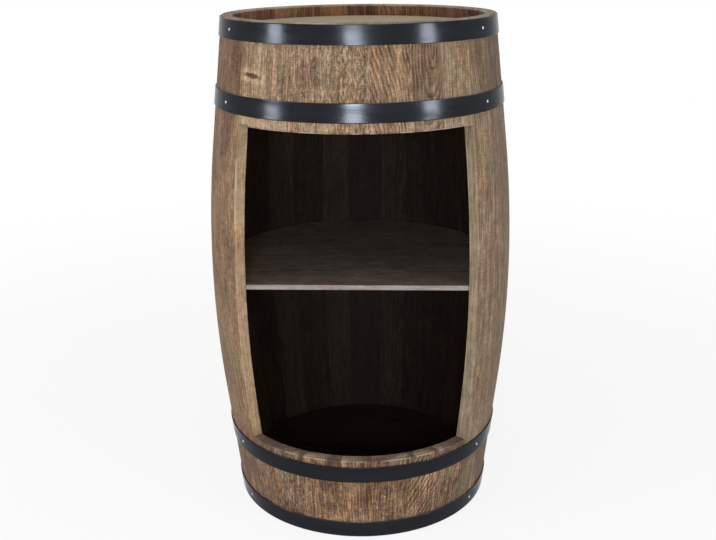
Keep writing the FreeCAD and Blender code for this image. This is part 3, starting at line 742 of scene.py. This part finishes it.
def make_head_board(node, number, low, high, ends, material):
    """One head board: the disc's outline between its two joints, stacked from the lower face to the upper.

    Each level has its own radius, so that the middle levels stand out as the tongue in the groove. ends says
    whether the board's low and high sides are the disc's own edge.
    """
    size = bpy.context.scene.barrel_size
    z_low, z_high = (corner.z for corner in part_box(node))
    inset, drop = rounded_edge(size.board_arris)
    z_middle = (z_low + z_high) / 2
    tongue = np.array((z_middle - size.tongue / 2,) * 2 + (z_middle + size.tongue / 2,) * 2)
    z = np.concatenate((z_low + drop[::-1], tongue, z_high - drop))
    level_inset = np.concatenate((inset[::-1], np.zeros(4), inset))
    radius = size.head_radius - level_inset
    middle = len(inset)
    radius[middle + 1 : middle + 3] = size.tongue_radius
    y_low = np.maximum(low + np.where(ends[0], 0, level_inset), -radius)
    y_high = np.minimum(high - np.where(ends[1], 0, level_inset), radius)
    piece, points = stack_discs(node, z, radius, y_low, y_high, BOARD_STEPS, (low + high) / 2)
    write_board(piece, node, chance(number, HEAD_LUCK), number + HEAD_GRAIN)
    flat = on_a_face(points[:, 2], z_low, z_high)
    arm = np.minimum(points[:, 1] - low, high - points[:, 1])
    rim = size.head_radius - np.hypot(points[:, 0], points[:, 1])
    inside = np.minimum(arm, rim) > size.board_arris * WORN_ARRISES
    write_values(piece, "wear", ~(flat & inside))
    give_materials(piece, (material,))
    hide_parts(node)


def make_shelf():
    """The shelf: the disc's outline cut straight at the front, stacked from the lower face to the upper."""
    size = bpy.context.scene.barrel_size
    (_, front, z_low), (_, _, z_high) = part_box("shelf")
    inset, drop = rounded_edge(size.shelf_arris)
    z = np.concatenate((z_low + drop[::-1], z_high - drop))
    level_inset = np.concatenate((inset[::-1], inset))
    radius = size.shelf_radius - level_inset
    piece, points = stack_discs("shelf", z, radius, front + level_inset, radius, SHELF_STEPS)
    write_board(piece, "shelf", chance(SHELF_NUMBER, SHELF_LUCK), SHELF_NUMBER)
    write_values(piece, "wear", ~on_a_face(points[:, 2], z_low, z_high))
    middles = np.empty(len(piece.data.polygons) * 3, dtype=np.float32)
    piece.data.polygons.foreach_get("center", middles)
    middles = middles.reshape(-1, 3)
    on_edge = (middles[:, 2] > z_low + 10 * TOUCH) & (middles[:, 2] < z_high - 10 * TOUCH)
    give_materials(piece, ("Shelf top", "Shelf edge"), on_edge)
    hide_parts("shelf")


# ---------------------------------------------------------------- nodes


class Wire:
    """A node's output as a term of a formula: each operation on it adds a node to its tree."""

    def __init__(self, tree, socket):
        self.tree = tree
        self.socket = socket

    def math(self, operation, *others):
        """The result of a Math node."""
        return add(self.tree, "ShaderNodeMath", enumerate((self, *others)), operation=operation)

    def vector(self, operation, *others):
        """The result of a Vector Math node."""
        return add(self.tree, "ShaderNodeVectorMath", enumerate((self, *others)), operation=operation)

    def __add__(self, other):
        return self.math("ADD", other)

    def __sub__(self, other):
        return self.math("SUBTRACT", other)

    def __mul__(self, other):
        return self.math("MULTIPLY", other)

    def __truediv__(self, other):
        return self.math("DIVIDE", other)


def feed(tree, sockets, values):
    """Sets sockets, found by name or place, to values, or links them where the value is a wire."""
    for key, value in dict(values).items():
        if isinstance(value, Wire):
            tree.links.new(value.socket, sockets[key])
        else:
            sockets[key].default_value = value


def new_node(tree, kind, inputs=(), **settings):
    """A node with these settings and inputs."""
    node = tree.nodes.new(kind)
    for name, value in settings.items():
        setattr(node, name, value)
    feed(tree, node.inputs, inputs)
    return node


def add(tree, kind, inputs=(), output=0, **settings):
    """One output of a new node."""
    return Wire(tree, new_node(tree, kind, inputs, **settings).outputs[output])


def split(vector):
    """The three parts of a vector."""
    node = new_node(vector.tree, "ShaderNodeSeparateXYZ", {0: vector})
    return [Wire(vector.tree, part) for part in node.outputs]


def joined(first, *others):
    """The vector with these three parts."""
    return add(first.tree, "ShaderNodeCombineXYZ", enumerate((first, *others)))


def scaled(vector, scale, shift=None):
    """A vector with each axis multiplied by its own number, and then moved by another vector."""
    longer = vector.vector("MULTIPLY", scale)
    return longer if shift is None else longer.vector("ADD", shift)


def noise(vector, detail=2.0, roughness=0.5, distortion=0.0, output="Fac"):
    """The value or the colour of a noise texture."""
    inputs = {
        "Vector": vector, "Scale": 1.0, "Detail": detail, "Roughness": roughness, "Distortion": distortion,
    }
    return add(vector.tree, "ShaderNodeTexNoise", inputs, output)


def mix(factor, first, second, blend="MIX"):
    """The result of a Mix node for colours, at least one part of which is a wire."""
    tree = next(part.tree for part in (factor, first, second) if isinstance(part, Wire))
    inputs = {0: factor, 6: first, 7: second}
    return add(tree, "ShaderNodeMix", inputs, 2, data_type="RGBA", blend_type=blend, clamp_factor=True)


def spread(value, low, high, to_low=0.0, to_high=1.0, curve="SMOOTHSTEP"):
    """A value moved from one range to another, and held within it."""
    ends = enumerate((value, low, high, to_low, to_high))
    return add(value.tree, "ShaderNodeMapRange", ends, interpolation_type=curve)


def attribute(tree, name, output="Vector"):
    """A mesh attribute."""
    return add(tree, "ShaderNodeAttribute", output=output, attribute_name=name)


def bump(height, strength, distance, normal=None):
    """The normal that a height map gives, on top of another normal where there is one."""
    inputs = {"Strength": strength, "Distance": distance, "Height": height}
    if normal:
        inputs["Normal"] = normal
    return add(height.tree, "ShaderNodeBump", inputs)


def opaque(shade):
    """A colour with its alpha."""
    return (*shade, 1.0)


def new_group(name, inputs, outputs):
    """An empty shader node group: its tree, its inputs as wires by their names, and its output node.

    Each socket has a name and a value: one number makes it a value, three a vector and four a colour.
    """
    kinds = {1: "NodeSocketFloat", 3: "NodeSocketVector", 4: "NodeSocketColor"}
    group = bpy.data.node_groups.new(name, "ShaderNodeTree")
    for way, sockets in (("INPUT", inputs), ("OUTPUT", outputs)):
        for title, value in sockets.items():
            socket = group.interface.new_socket(title, in_out=way, socket_type=kinds[np.size(value)])
            socket.default_value = value
    source = group.nodes.new("NodeGroupInput")
    given = {socket.name: Wire(group, socket) for socket in source.outputs if socket.name}
    return group, given, group.nodes.new("NodeGroupOutput")


def new_material(name):
    """A material, its node tree and its Principled shader."""
    material = bpy.data.materials.new(name)
    material.use_nodes = True
    return material, material.node_tree, material.node_tree.nodes["Principled BSDF"]


# ---------------------------------------------------------------- wood

WHITE = (1.0, 1.0, 1.0, 1.0)
HALF = (0.5, 0.5, 0.5)
ORIGIN = (0.0, 0.0, 0.0)
# How finely the wood's patterns repeat in a metre: across a board, into its depth and along it.
PATTERN_SCALES = {
    "bend": (9, 9, 2.6),
    "wave": (40, 40, 30),
    "uneven rings": (60, 60, 40),
    "short fibres": (520, 520, 130),
    "long fibres": (620, 620, 14),
    "flecks": (560, 560, 430),
    "streaks": (120, 120, 6),
    "patches": (24, 24, 14),
    "clouds": (150, 150, 80),
    "ripple": (90, 90, 560),
    "tints": (44, 44, 24),
}
BEND_REACH = (0.03, 0.03, 0.0)
# How far a knot's middle climbs across it and how flat it is, as shares of its half length.
KNOT_CLIMB = 0.08
KNOT_FLATNESS = 0.24
KNOT_TINT = (0.6, 0.5, 0.45, 1.0)


def grain_group():
    """Wood in the board's own space: across, depth and along, in metres.

    The rings are spaced distances from a pith that lies below the board, leans along it and wanders;
    where it runs under the face they draw nested arches. The fibres are short and long noises stretched
    along the board and bent in short waves, with fine flecks between them. Streaks, patches and clouds are
    wider noises, the ripple lies across the board, the tints are a noise of colours, and the knot is a
    flattened ellipse with a pale halo.
    """
    values = "Rings", "Fibres", "Streaks", "Patches", "Clouds", "Ripple", "Knots", "Halo", "Tone", "Warmth"
    inputs = {
        "Grain": ORIGIN, "Board": ORIGIN, "Pith": ORIGIN, "Knot": NO_KNOT,
        "Figure": (0.3, 1.0, RING_SPACING), "Wave": 0.005,
    }
    group, given, result = new_group("Board grain", inputs, {**dict.fromkeys(values, 0.0), "Tints": WHITE})
    grain = given["Grain"]
    tone, warmth, number = split(given["Board"])
    pith_across, pith_depth, pith_lean = split(given["Pith"])
    short_share, ring_strength, ring_spacing = split(given["Figure"])
    seed = joined(number, number, number)

    def pattern(name, space=grain, **settings):
        """A noise as fine as the table says, laid out in the given space."""
        return noise(scaled(space, PATTERN_SCALES[name], seed), **settings)

    def moved(vector, name, reach):
        """The vector pushed about by a pattern, as far as reach along each axis."""
        push = pattern(name, detail=1.0, output="Color").vector("SUBTRACT", HALF)
        return vector.vector("ADD", push.vector("MULTIPLY", reach))

    bent = moved(grain, "bend", BEND_REACH)
    wavy = moved(bent, "wave", joined(given["Wave"], given["Wave"], 0.0))

    across, depth, along = split(wavy)
    sideways = across - pith_across
    below = depth + pith_depth + along * pith_lean
    distance = (sideways * sideways + below * below).math("SQRT")
    phase = (distance / ring_spacing).math("FRACT")
    rings = phase.math("POWER", 1.6) * spread(phase, 0.8, 1.0, 1.0, 0.0)
    rings = rings * spread(pattern("uneven rings"), 0.34, 0.62, 0.35, 1.5)
    rings = (rings - 0.3) * ring_strength

    fibres = {
        0: short_share,
        2: pattern("long fibres", bent, detail=3),
        3: pattern("short fibres", wavy, distortion=0.3),
    }
    coarse = spread(add(group, "ShaderNodeMix", fibres), 0.32, 0.7)
    flecks = spread(pattern("flecks", wavy), 0.32, 0.7)
    clouds = pattern("clouds")

    knot_across, knot_along, knot_half = split(given["Knot"])
    flat_across, _, flat_along = split(grain)
    out_across = (flat_across - knot_across) / knot_half
    lift = flat_along - knot_along + out_across * (knot_half * KNOT_CLIMB)
    out_along = lift / (knot_half * KNOT_FLATNESS)
    away = (out_across * out_across + out_along * out_along).math("SQRT")
    feed(group, result.inputs, {
        "Rings": rings,
        "Fibres": coarse * 0.7 + flecks * 0.3,
        "Streaks": pattern("streaks", bent),
        "Patches": pattern("patches", detail=3, roughness=0.6, distortion=0.5),
        "Clouds": clouds,
        "Ripple": pattern("ripple"),
        "Knots": spread(away + (clouds - 0.5) * 1.2, 1.3, 0.6),
        "Halo": spread(away, 3.6, 1.2),
        "Tone": tone,
        "Warmth": warmth,
        "Tints": pattern("tints", wavy, output="Color"),
    })


SHADES = "Dark", "Ground", "Pale", "Weathered", "Warm", "Worn"


def stain_group():
    """Colour of stained wood: dark, ground and pale colours chosen by the grain, then weathered and worn.

    The choice is a weighted sum of fibres, streaks, rings, clouds, ripple, patches, a knot's halo and the
    board's own tone; bold boards have stronger fibres and mottling. The weathered veil comes in patches and
    more on cool boards, the warm one along the streaks and more on warm boards, the tints everywhere, the
    knot over them and the worn colour along rubbed edges.
    """
    group, given, result = new_group("Stain", {
        "Rings": 0.0, "Fibres": 0.5, "Streaks": 0.5, "Patches": 0.5, "Clouds": 0.5, "Ripple": 0.5,
        "Knots": 0.0, "Halo": 0.0, "Tone": 0.0, "Warmth": 0.0, "Bold": 0.8, "Tints": WHITE, "Wear": 0.0,
        **dict.fromkeys(SHADES, WHITE),
        "Ring strength": 0.35, "Fibre strength": 0.7, "Streak strength": 0.5, "Cloud strength": 0.5,
        "Ripple strength": 0.1, "Patch strength": 0.9, "Tone strength": 0.16, "Weathering": 0.6,
        "Tint strength": 0.28, "Worn strength": 0.5,
    }, {"Color": WHITE, "Height": 0.0})
    bold, patches, warmth = given["Bold"], given["Patches"], given["Warmth"]

    def weighed(name, strength, centre=0.5):
        """A pattern's distance from its centre, times its strength."""
        return (given[name] - centre) * given[strength]

    ripple = weighed("Ripple", "Ripple strength")
    mottle = weighed("Clouds", "Cloud strength") + ripple + weighed("Patches", "Patch strength")
    choice = weighed("Fibres", "Fibre strength", 0.42) * bold + weighed("Streaks", "Streak strength")
    choice = choice - weighed("Rings", "Ring strength", 0.0) + mottle * bold + given["Halo"] * 0.2
    choice = choice + weighed("Tone", "Tone strength", 0.0) + 0.5
    shade = mix(spread(choice, 0.05, 0.5, curve="LINEAR"), given["Dark"], given["Ground"])
    shade = mix(spread(choice, 0.5, 0.95, curve="LINEAR"), shade, given["Pale"])

    grey = spread(patches - warmth * 0.12, 0.46, 0.66) * given["Weathering"]
    shade = mix(grey, shade, given["Weathered"], "MULTIPLY")
    warm = spread(given["Streaks"] + warmth * 0.2, 0.5, 0.8) * given["Weathering"]
    shade = mix(warm, shade, given["Warm"], "MULTIPLY")
    tint = given["Tints"].vector("SUBTRACT", HALF)
    tint = add(group, "ShaderNodeVectorMath", {0: tint, "Scale": given["Tint strength"]}, operation="SCALE")
    shade = mix(1.0, shade, tint.vector("ADD", WHITE[:3]), "MULTIPLY")
    knot = mix(1.0, given["Dark"], KNOT_TINT, "MULTIPLY")
    shade = mix(given["Knots"] * 0.9, shade, knot)
    rubbed = given["Wear"] * spread(patches, 0.45, 0.6) * given["Worn strength"]

    height = given["Fibres"] + given["Rings"] * -0.3 + ripple - given["Knots"] * 1.5
    feed(group, result.inputs, {"Color": mix(rubbed, shade, given["Worn"]), "Height": height})


# The height in metres of the grain's full range, and the wood's faint shine.
GRAIN_HEIGHT = 0.0006
WOOD_SHINE = 0.12
# The seed and the pith of a CAD node that keeps its shape.
PLAIN_GRAIN = {"Board": (0.0, 0.0, 17.3), "Pith": (0.02, 0.05, 0.03)}


def wood(name, colours, roughness, worn="worn", relief=0.35, turned=None, **strengths):
    """A wood material: the grain group feeds the stain group, which feeds a satin shader.

    Boards bring their grain as attributes. A CAD node has none, and takes its own space, turned so that
    its length is the grain's.
    """
    look = bpy.context.scene.barrel_finish
    _, tree, shader = new_material(name)
    grain = new_node(tree, "ShaderNodeGroup", node_tree=bpy.data.node_groups["Board grain"])
    stain = new_node(tree, "ShaderNodeGroup", node_tree=bpy.data.node_groups["Stain"])
    for output in grain.outputs:
        tree.links.new(output, stain.inputs[output.name])
    if turned:
        place = add(tree, "ShaderNodeTexCoord", output="Object")
        place = add(tree, "ShaderNodeMapping", {"Vector": place, "Rotation": turned}, vector_type="POINT")
        feed(tree, grain.inputs, {"Grain": place, **PLAIN_GRAIN})
    else:
        for title in ("Grain", "Board", "Pith", "Knot", "Figure"):
            feed(tree, grain.inputs, {title: attribute(tree, title.lower())})
        for title in ("Bold", "Wear"):
            feed(tree, stain.inputs, {title: attribute(tree, title.lower(), "Fac")})
    shades = f"{colours}_dark", f"{colours}_mid", f"{colours}_pale", "grey_veil", "warm_veil", worn
    for title, shade in zip(SHADES, shades):
        stain.inputs[title].default_value = opaque(getattr(look, shade))
    for title, value in strengths.items():
        target = title.replace("_", " ").capitalize()
        (stain if target in stain.inputs else grain).inputs[target].default_value = value
    fibres = Wire(tree, grain.outputs["Fibres"])
    height = Wire(tree, stain.outputs["Height"])
    feed(tree, shader.inputs, {
        "Base Color": Wire(tree, stain.outputs["Color"]),
        "Roughness": spread(fibres, 0.3, 0.7, roughness - 0.06, roughness + 0.08),
        "Normal": bump(height, relief, GRAIN_HEIGHT),
        "Specular IOR Level": WOOD_SHINE,
    })


QUARTER = math.pi / 2
# Each wood finish: its colours, its roughness, and where it differs from the wood() settings and the
# groups' own values.
WOOD_FINISHES = (
    ("Weathered outside", "outer", 0.6,
     dict(relief=0.5, worn_strength=0.1, ripple_strength=0.4, fibre_strength=0.66)),
    ("Sawn side", "sawn", 0.6,
     dict(worn_strength=0.4, weathering=0.7, ripple_strength=0.5, fibre_strength=0.45)),
    # The inside: its stain, with painted shade darkened into its colours.
    ("Stained and shaded inside", "inner", 0.62,
     dict(worn="inner_pale", worn_strength=0.2, weathering=0.3, tone_strength=0.22)),
    ("Chime wood", "chime", 0.6,
     dict(worn="chime_pale", worn_strength=0.2, weathering=0.6, tone_strength=0.2)),
    ("Weathered rim", "rim", 0.65, dict(worn_strength=0.3, weathering=0.4)),
    # The sawn lip's dark colours hold painted shade as well as stain.
    ("Sawn lip", "lip", 0.6, dict(worn_strength=0.5, weathering=0.2, tone_strength=0.06)),
    ("Head wood", "head", 0.6,
     dict(worn_strength=0.2, weathering=0.4, wave=0.002, tint_strength=0.15, tone_strength=0.2,
          fibre_strength=0.9, ring_strength=0.5)),
    # The shelf's top carries painted light in its colours, as well as its own wood.
    ("Shelf top", "shelf", 0.5, dict(worn="shelf_pale", worn_strength=0.3, wave=0.001)),
    # The bottom head's boards take the inside's colours, and with them its painted shade.
    ("Dark boards", "inner", 0.6, dict(worn="inner_pale", worn_strength=0.3, wave=0.001)),
    ("Shelf edge", "edge", 0.6, dict(worn="edge_pale", worn_strength=0.2, ring_strength=0.1, wave=0.001)),
    # The cleats take the inside's colours, and with them its painted shade.
    ("Cleat wood", "inner", 0.6, dict(worn="inner_pale", turned=(0, QUARTER, 0))),
    ("Head dowel wood", "head", 0.6, dict(turned=(QUARTER, 0, 0))),
)


# ---------------------------------------------------------------- metal

# How finely the steel's patterns repeat in a metre, along and across a strip, and on a fastener's head.
LINE_SCALES, CLOUD_SCALES, DENT_SCALES = (7, 1300, 1), (14, 60, 1), (9, 30, 1)
SPOT_SCALES = (900, 900, 900)
# How much lighter the steel is in its clouds, and the heights of its brushed lines and its dents in metres.
CLOUD_LIGHT = 1.15
LINE_HEIGHT, DENT_HEIGHT = 0.0002, 0.0012
# The steel's reflections at grazing angles.
GRAZING_TINT = (0.65, 0.66, 0.68, 1.0)


def black_steel():
    """Blackened strip steel: brushed lines along the strip change its gloss, slight dents its reflections.
    Its edges are lighter, partly as wear and partly as a painted glint.
    """
    look = bpy.context.scene.barrel_finish
    _, tree, shader = new_material("Black hoop")
    strip = attribute(tree, "grain")
    lines = noise(scaled(strip, LINE_SCALES), detail=3, roughness=0.65)
    cloud = noise(scaled(strip, CLOUD_SCALES), detail=3)
    dents = noise(scaled(strip, DENT_SCALES), detail=1)
    shade = mix(spread(cloud, 0.35, 0.7), opaque(look.hoop), opaque(np.array(look.hoop) * CLOUD_LIGHT))
    # Painted glint and wear: the lighter rubbed steel along the hoops' edges.
    rubbed = attribute(tree, "wear", "Fac") * spread(cloud, 0.4, 0.6, 0.1, 0.6)
    feed(tree, shader.inputs, {
        "Base Color": mix(rubbed, shade, opaque(look.rubbed)),
        "Metallic": 1.0,
        "Roughness": spread(lines, 0.34, 0.66, 0.15, 0.22) + spread(cloud, 0.4, 0.7, 0.0, 0.04),
        "Normal": bump(lines, 0.04, LINE_HEIGHT, bump(dents, 1.0, DENT_HEIGHT)),
        "Specular Tint": GRAZING_TINT,
    })


def bare_metal(name, shade, roughness, spots):
    """Plain metal with small cloudy spots that dull it."""
    _, tree, shader = new_material(name)
    place = add(tree, "ShaderNodeTexCoord", output="Object")
    cloud = noise(scaled(place, SPOT_SCALES), detail=3)
    feed(tree, shader.inputs, {
        "Base Color": mix(spread(cloud, 0.45, 0.65), opaque(shade), opaque(np.array(shade) * spots)),
        "Metallic": 1.0,
        "Roughness": spread(cloud, 0.4, 0.7, roughness, roughness + 0.2),
    })


# ---------------------------------------------------------------- operators

# What is added to a board's number for each kind, so that each board has a number of its own.
UPPER_NUMBERS, LOWER_NUMBERS, BOTTOM_HEAD_NUMBERS = 30, 50, 10
CLEATS = [f"shelf_cleat_{number}" for number in range(1, 5)]


def finish_nodes(nodes, material):
    """Puts a material in every slot of these CAD nodes."""
    for name in nodes:
        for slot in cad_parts[name].material_slots:
            slot.material = bpy.data.materials[material]


class BARREL_OT_finishes(bpy.types.Operator):
    """Make the wood and metal materials that the pieces take"""

    bl_idname = "barrel.finishes"
    bl_label = "Finishes"

    def execute(self, context):
        look = context.scene.barrel_finish
        grain_group()
        stain_group()
        for name, colours, roughness, settings in WOOD_FINISHES:
            wood(name, colours, roughness, **settings)
        black_steel()
        bare_metal("Bright steel", look.bright, roughness=0.25, spots=0.6)
        bare_metal("Rivet steel", look.rivet, roughness=0.35, spots=0.5)
        return {"FINISHED"}


class BARREL_OT_staves(bpy.types.Operator):
    """Make the full staves and the stubs above and below the opening"""

    bl_idname = "barrel.staves"
    bl_label = "Staves"

    def execute(self, context):
        size = context.scene.barrel_size
        joint, cut = size.arris, size.cut_arris
        for number in range(1, FULL_STAVES + 1):
            make_stave(f"full_stave_{number:02d}", number, (RIM, RIM), (joint, joint))
        for number in range(1, FRONT_STAVES + 1):
            upper, lower = f"upper_front_stave_{number}", f"lower_front_stave_{number}"
            make_stave(upper, UPPER_NUMBERS + number, (LIP, RIM), (cut, joint))
            make_stave(lower, LOWER_NUMBERS + number, (RIM, LIP), (joint, cut))
        return {"FINISHED"}


class BARREL_OT_hoops(bpy.types.Operator):
    """Make the four hoops"""

    bl_idname = "barrel.hoops"
    bl_label = "Hoops"

    def execute(self, context):
        for number, name in enumerate(HOOP_NAMES):
            make_hoop(name, number)
        return {"FINISHED"}


class BARREL_OT_fasteners(bpy.types.Operator):
    """Make the heads of the hoop rivets and hoop nails"""

    bl_idname = "barrel.fasteners"
    bl_label = "Rivets and nails"

    def execute(self, context):
        size = context.scene.barrel_size
        rivets, nails = [], []
        for name in HOOP_NAMES:
            z = sum(corner.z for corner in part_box(name)) / 2
            reach = float(outer_radius(z)) + size.hoop_play
            lap_reach = reach + 2 * size.hoop_thickness
            nail_reach = reach + size.hoop_thickness
            for sign in (-1, 1):
                rivet = math.pi / 2 + sign * size.rivet_spacing / 2 / lap_reach
                nail = -math.pi / 2 + sign * (half_opening() + size.nail_setback / nail_reach)
                rivets.append(on_hoop(name, rivet, 2))
                nails.append(on_hoop(name, nail, 1))
        make_heads_of_fasteners(
            "hoop_rivets", "Rivet steel", rivets, size.rivet_radius, size.rivet_height
        )
        make_heads_of_fasteners(
            "hoop_nails", "Bright steel", nails, size.nail_radius, size.nail_height
        )
        return {"FINISHED"}


class BARREL_OT_heads(bpy.types.Operator):
    """Make the boards of the two heads and finish their dowels"""

    bl_idname = "barrel.heads"
    bl_label = "Heads"

    def execute(self, context):
        for place, (head, material) in enumerate((("top", "Head wood"), ("bottom", "Dark boards"))):
            for number in range(1, HEAD_BOARDS + 1):
                node = f"{head}_head_board_{number}"
                low, high = (corner.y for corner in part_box(node))
                ends = number == 1, number == HEAD_BOARDS
                make_head_board(node, number + BOTTOM_HEAD_NUMBERS * place, low, high, ends, material)
        finish_nodes(("head_dowels",), "Head dowel wood")
        return {"FINISHED"}


class BARREL_OT_shelf(bpy.types.Operator):
    """Make the shelf and finish its cleats and screws"""

    bl_idname = "barrel.shelf"
    bl_label = "Shelf and cleats"

    def execute(self, context):
        make_shelf()
        finish_nodes(CLEATS, "Cleat wood")
        finish_nodes(("cleat_screws",), "Bright steel")
        return {"FINISHED"}


# ---------------------------------------------------------------- stage

# Half the floor's side and its roughness, and the width of the camera's sensor in millimetres.
FLOOR_REACH = 6.0
FLOOR_ROUGHNESS = 0.9
SENSOR_WIDTH = 36
# Distances from the barrel's axis between which the floor turns to plain white.
FLOOR_NEAR, FLOOR_FAR = 0.4, 2.2
# Each soft lamp's turn from the camera's side in degrees, its lower and upper end and its width in metres,
# and its share of the glare.
LAMPS = ((-66, 0.72, 1.06, 0.4, 0.84), (-4, 0.72, 1.08, 0.42, 1.3), (53, 0.72, 1.06, 0.4, 0.84))
# Where the lamp overhead stands, across and from front to back.
TOP_LAMP_PLACE = (-0.2, -0.3)


def seen_directly(tree):
    """1 for the camera's own rays and those that it gets by reflection or through glass, otherwise 0."""
    path = new_node(tree, "ShaderNodeLightPath").outputs
    kinds = "Camera", "Glossy", "Transmission"
    camera, glossy, through = (Wire(tree, path[f"Is {kind} Ray"]) for kind in kinds)
    return camera.math("MAXIMUM", glossy).math("MAXIMUM", through)


def make_floor(light):
    """A level floor that shows nearly white to the eye and in reflections, and keeps the shadow."""
    finish = bpy.context.scene.barrel_finish
    reach = FLOOR_REACH
    corners = [(-reach, -reach, 0), (reach, -reach, 0), (reach, reach, 0), (-reach, reach, 0)]
    mesh = bpy.data.meshes.new("floor")
    mesh.from_pydata(corners, [], [(0, 1, 2, 3)])
    floor = show("floor", mesh)
    material, tree, shader = new_material("Pale floor")
    feed(tree, shader.inputs, {
        "Base Color": opaque(finish.floor), "Roughness": FLOOR_ROUGHNESS, "Specular IOR Level": 0.0,
    })
    white = add(tree, "ShaderNodeEmission", {"Color": WHITE, "Strength": 1.0})
    place = add(tree, "ShaderNodeTexCoord", output="Object")
    away = add(tree, "ShaderNodeVectorMath", {0: place}, "Value", operation="LENGTH")
    share = seen_directly(tree) * spread(away, FLOOR_NEAR, FLOOR_FAR, light.floor_glow, 1.0)
    lit = Wire(tree, shader.outputs[0])
    blend = add(tree, "ShaderNodeMixShader", {0: share, 1: lit, 2: white})
    feed(tree, tree.nodes["Material Output"].inputs, {"Surface": blend})
    mesh.materials.append(material)


def make_world(light):
    """An even grey fill for the wood, seen as white by the camera and in reflections."""
    world = bpy.data.worlds.new("Studio")
    bpy.context.scene.world = world
    world.use_nodes = True
    tree = world.node_tree
    strength = spread(seen_directly(tree), 0.0, 1.0, light.fill, 1.0, curve="LINEAR")
    feed(tree, tree.nodes["Background"].inputs, {"Color": WHITE, "Strength": strength})


def make_lamp(name, radiance, width, height):
    """A soft rectangular lamp of even radiance."""
    data = bpy.data.lights.new(name, "AREA")
    data.shape = "RECTANGLE"
    data.size = width
    data.size_y = height
    data.energy = radiance * math.pi * width * height
    return show(name, data)


def make_lamps(light):
    """Tall soft lamps that face the barrel, each at its turn from the camera's side, and one overhead."""
    for turn, low, high, width, share in LAMPS:
        lamp = make_lamp("soft_lamp", light.glare * share, width, high - low)
        angle = light.camera_side + math.radians(turn)
        reach = light.lamp_distance
        lamp.location = (math.sin(angle) * reach, -math.cos(angle) * reach, (low + high) / 2)
        lamp.rotation_euler = (math.pi / 2, 0, angle)
    lamp = make_lamp("top_lamp", light.top_glare, light.top_width, light.top_width)
    lamp.location = (*TOP_LAMP_PLACE, light.top_height)


def make_camera(light):
    """The camera, turned about the barrel, tilted down and slightly rolled."""
    data = bpy.data.cameras.new("camera")
    data.sensor_fit = "HORIZONTAL"
    data.sensor_width = SENSOR_WIDTH
    data.lens = light.focal
    camera = show("camera", data)
    side, reach = light.camera_side, light.camera_distance
    camera.location = (reach * math.sin(side), -reach * math.cos(side), light.camera_height)
    turn = (
        Matrix.Rotation(side + light.camera_yaw, 4, "Z")
        @ Matrix.Rotation(math.pi / 2 - light.camera_pitch, 4, "X")
        @ Matrix.Rotation(light.camera_roll, 4, "Z")
    )
    camera.rotation_euler = turn.to_euler()
    bpy.context.scene.camera = camera


class BARREL_OT_stage(bpy.types.Operator):
    """Set the floor, the fill light, the soft lamps and the camera"""

    bl_idname = "barrel.stage"
    bl_label = "Stage"

    def execute(self, context):
        light = context.scene.barrel_light
        make_floor(light)
        make_world(light)
        make_lamps(light)
        make_camera(light)
        context.scene.view_settings.view_transform = "Standard"
        return {"FINISHED"}


# ---------------------------------------------------------------- add-on


class BARREL_PT_panel(bpy.types.Panel):
    """Lists the barrel's pieces, sizes and colours"""

    bl_label = "Barrel Bar Cabinet"
    bl_space_type = "VIEW_3D"
    bl_region_type = "UI"
    bl_category = "Barrel"

    def draw(self, context):
        for operator in OPERATORS:
            self.layout.operator(operator.bl_idname)
        for group in GROUPS:
            box = self.layout.box()
            settings = getattr(context.scene, group)
            for name in settings.__annotations__:
                box.prop(settings, name)


OPERATORS = (
    BARREL_OT_finishes,
    BARREL_OT_staves,
    BARREL_OT_hoops,
    BARREL_OT_fasteners,
    BARREL_OT_heads,
    BARREL_OT_shelf,
    BARREL_OT_stage,
)
GROUPS = {"barrel_size": BarrelSize, "barrel_finish": BarrelFinish, "barrel_light": BarrelLight}


def register():
    for group in GROUPS.values():
        bpy.utils.register_class(group)
    for name, group in GROUPS.items():
        setattr(bpy.types.Scene, name, PointerProperty(type=group))
    for listed in (*OPERATORS, BARREL_PT_panel):
        bpy.utils.register_class(listed)


def unregister():
    for listed in (BARREL_PT_panel, *reversed(OPERATORS)):
        bpy.utils.unregister_class(listed)
    for name in GROUPS:
        delattr(bpy.types.Scene, name)
    for group in reversed(GROUPS.values()):
        bpy.utils.unregister_class(group)


def main():
    """Makes every piece in order."""
    register()
    bpy.ops.barrel.finishes()
    bpy.ops.barrel.staves()
    bpy.ops.barrel.hoops()
    bpy.ops.barrel.fasteners()
    bpy.ops.barrel.heads()
    bpy.ops.barrel.shelf()
    bpy.ops.barrel.stage()


if __name__ == "__main__":
    main()
